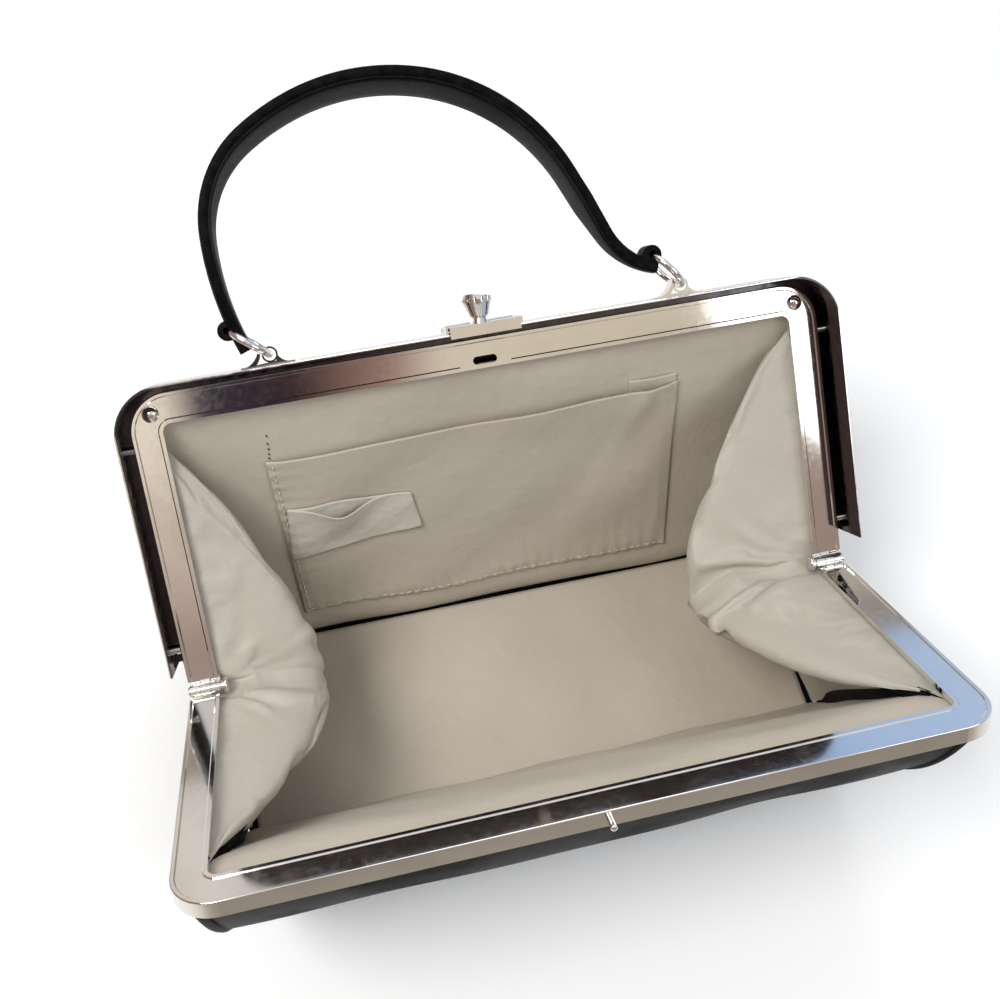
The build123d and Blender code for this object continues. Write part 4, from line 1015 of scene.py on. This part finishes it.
def label_layer(u, v, gape, droop):
    """Points of one layer of the label.  The layer gapes off the pocket in the middle of its top
    edge and droops there by the same bump, both fading towards the foot."""
    bump = np.exp(-((u - GAPE_CENTRE) / GAPE_WIDTH) ** 2)
    x = LABEL_LEFT + (LABEL_RIGHT - LABEL_LEFT) * u + LABEL_FLARE * (v - 0.5) * (2 * u - 1)
    top = LABEL_TOP + 0.0030 * u - 0.002 + droop * bump
    foot = LABEL_FOOT + 0.0022 * (1 - u) - 0.0035 * u
    drop = top + (foot - top) * v
    beneath = pocket_lift((x - POCKET_LEFT) / pocket_width,
                          (drop - POCKET_TOP_LEFT) / (POCKET_FOOT - POCKET_TOP_LEFT))
    lift = beneath + LABEL_REST + gape * bump * (1 - v) ** 1.5
    lift = lift + LABEL_WAVE * np.sin(v * 9 + u * 12)
    return back_wall(x, drop, lift)


u, v = np.meshgrid(np.linspace(0, 1, 60), np.linspace(0, 1, 26))
for name, gape, droop in LABEL_LAYERS:
    layer = grid_piece(name, label_layer(u, v, gape, droop), label_cloth,
                       wall=LABEL_CLOTH, flip=True)
    follow_jaw(layer, 1)
    if name == "label_front_layer":
        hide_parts("pocket_label")


# The handle: a stiff strap of folded black leather with a groove near both edges.  It stands in a
# leaning arch, and its ends narrow and turn round the two rings.
STRAP_SPINE = (
    (-0.0806, 0.1152), (-0.0857, 0.1534), (-0.0682, 0.1830), (-0.0518, 0.1911),
    (-0.0076, 0.1933), (0.0376, 0.1560), (0.0478, 0.1348), (0.0649, 0.1208),
)
STRAP_START_DIRECTION = np.radians(109.0)
STRAP_OFF = 0.0027
STRAP_HALF_WIDTH = 0.0090
STRAP_END_HALF_WIDTH = 0.0045
STRAP_HALF_THICK = 0.0023
STRAP_TWIST = np.radians(12)
TAPER_LOW, TAPER_HIGH = 0.124, 0.146
STRAP_SQUARE = (0.55, 0.42)
STRAP_FLAT, STRAP_CROWN = 0.92, 0.12
GROOVE_DEPTH, GROOVE_AT, GROOVE_WIDTH = 0.16, 0.80, 0.05


def strap_spine(per_arc):
    """The handle's middle line as arcs, each tangent to the last: points and unit directions."""
    ahead = np.array((np.cos(STRAP_START_DIRECTION), np.sin(STRAP_START_DIRECTION)))
    places, ways = [], []
    for begin, end in zip(np.array(STRAP_SPINE), np.array(STRAP_SPINE[1:])):
        chord = end - begin
        length = np.linalg.norm(chord)
        turn = np.arctan2(ahead[0] * chord[1] - ahead[1] * chord[0], ahead @ chord)
        left = np.array((-ahead[1], ahead[0]))
        shares = np.linspace(0, 1, per_arc, endpoint=False)
        angle = 2 * turn * shares
        radius = length / (2 * np.sin(turn))
        run = radius * np.sin(angle)
        rise = radius * (1 - np.cos(angle))
        places.append(begin + np.outer(run, ahead) + np.outer(rise, left))
        ways.append(np.outer(np.cos(angle), ahead) + np.outer(np.sin(angle), left))
        ahead = np.cos(2 * turn) * ahead + np.sin(2 * turn) * left
    places.append(np.array(STRAP_SPINE[-1:]))
    ways.append(ahead[None])
    return np.concatenate(places), np.concatenate(ways)


def strap_section(count):
    """The handle's section as unit numbers: a flat lens with rolled edges and two grooves in each
    face, as width and thickness for a full turn."""
    turn = np.linspace(0, 2 * np.pi, count, endpoint=False)
    width = np.sign(np.cos(turn)) * np.abs(np.cos(turn)) ** STRAP_SQUARE[0]
    thick = np.sign(np.sin(turn)) * np.abs(np.sin(turn)) ** STRAP_SQUARE[1]
    groove = GROOVE_DEPTH * np.exp(-((np.abs(width) - GROOVE_AT) / GROOVE_WIDTH) ** 2)
    crown = STRAP_CROWN * (1 - width ** 2)
    return width, thick * (STRAP_FLAT + crown - groove)


spine, ways = strap_spine(26)
width, thick = strap_section(56)
narrow = np.clip((spine[:, 1] - TAPER_LOW) / (TAPER_HIGH - TAPER_LOW), 0, 1)
half_width = STRAP_END_HALF_WIDTH + (STRAP_HALF_WIDTH - STRAP_END_HALF_WIDTH) * narrow ** 0.8
lefts = np.stack((-ways[:, 1], ways[:, 0]), axis=-1)
twist = STRAP_TWIST * narrow
around = spine[:, None] + lefts[:, None] * (thick[None, :, None] * STRAP_HALF_THICK)
around[..., 1] += np.sin(twist)[:, None] * half_width[:, None] * width[None]
off = STRAP_OFF + np.cos(twist)[:, None] * half_width[:, None] * width[None]
strap_points = jaw_point(1, around[..., 0], around[..., 1], off)
strap_leather = leather_material("strap_leather", 1300, 0.36)
ring_points = np.concatenate((strap_points, strap_points[:, :1]), axis=1)
strap = grid_piece("strap_leather_body", ring_points, strap_leather)
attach(strap, "handle")
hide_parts("handle_strap")


# The strap's loops: at each end the leather is rolled round its ring, in a short barrel as wide as
# the narrowed strap.
LUG_SPACING = 0.1468
EYE_LEVEL = 0.1130
RING_RADIUS = 0.0078
LOOP_RADIUS = 0.0034
WIRE_HOLE = 0.0013
LOOP_ACROSS = np.array((-0.98, -1.0, -0.96, -0.8, 0.8, 0.96, 1.0, 0.98))
LOOP_ROUNDING = np.array((0.82, 0.95, 1.0, 1.0, 0.95, 0.82))
RING_LEAN = {-1: np.radians(140.0), 1: np.radians(129.5)}
for side, name in ((-1, "left"), (1, "right")):
    centre = np.array((side * LUG_SPACING / 2, EYE_LEVEL))
    centre = centre + 2 * RING_RADIUS * np.array((np.cos(RING_LEAN[side]), np.sin(RING_LEAN[side])))
    turn = np.linspace(0, 2 * np.pi, 41)
    rounding = np.concatenate(((WIRE_HOLE,), LOOP_ROUNDING * LOOP_RADIUS, (WIRE_HOLE,)))
    loop_x = centre[0] + np.cos(turn)[:, None] * rounding
    loop_v = centre[1] + np.sin(turn)[:, None] * rounding
    loop_points = jaw_point(1, loop_x, loop_v, STRAP_OFF + LOOP_ACROSS * STRAP_END_HALF_WIDTH)
    loop = grid_piece(f"{name}_strap_loop", loop_points, strap_leather)
    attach(loop, "handle")
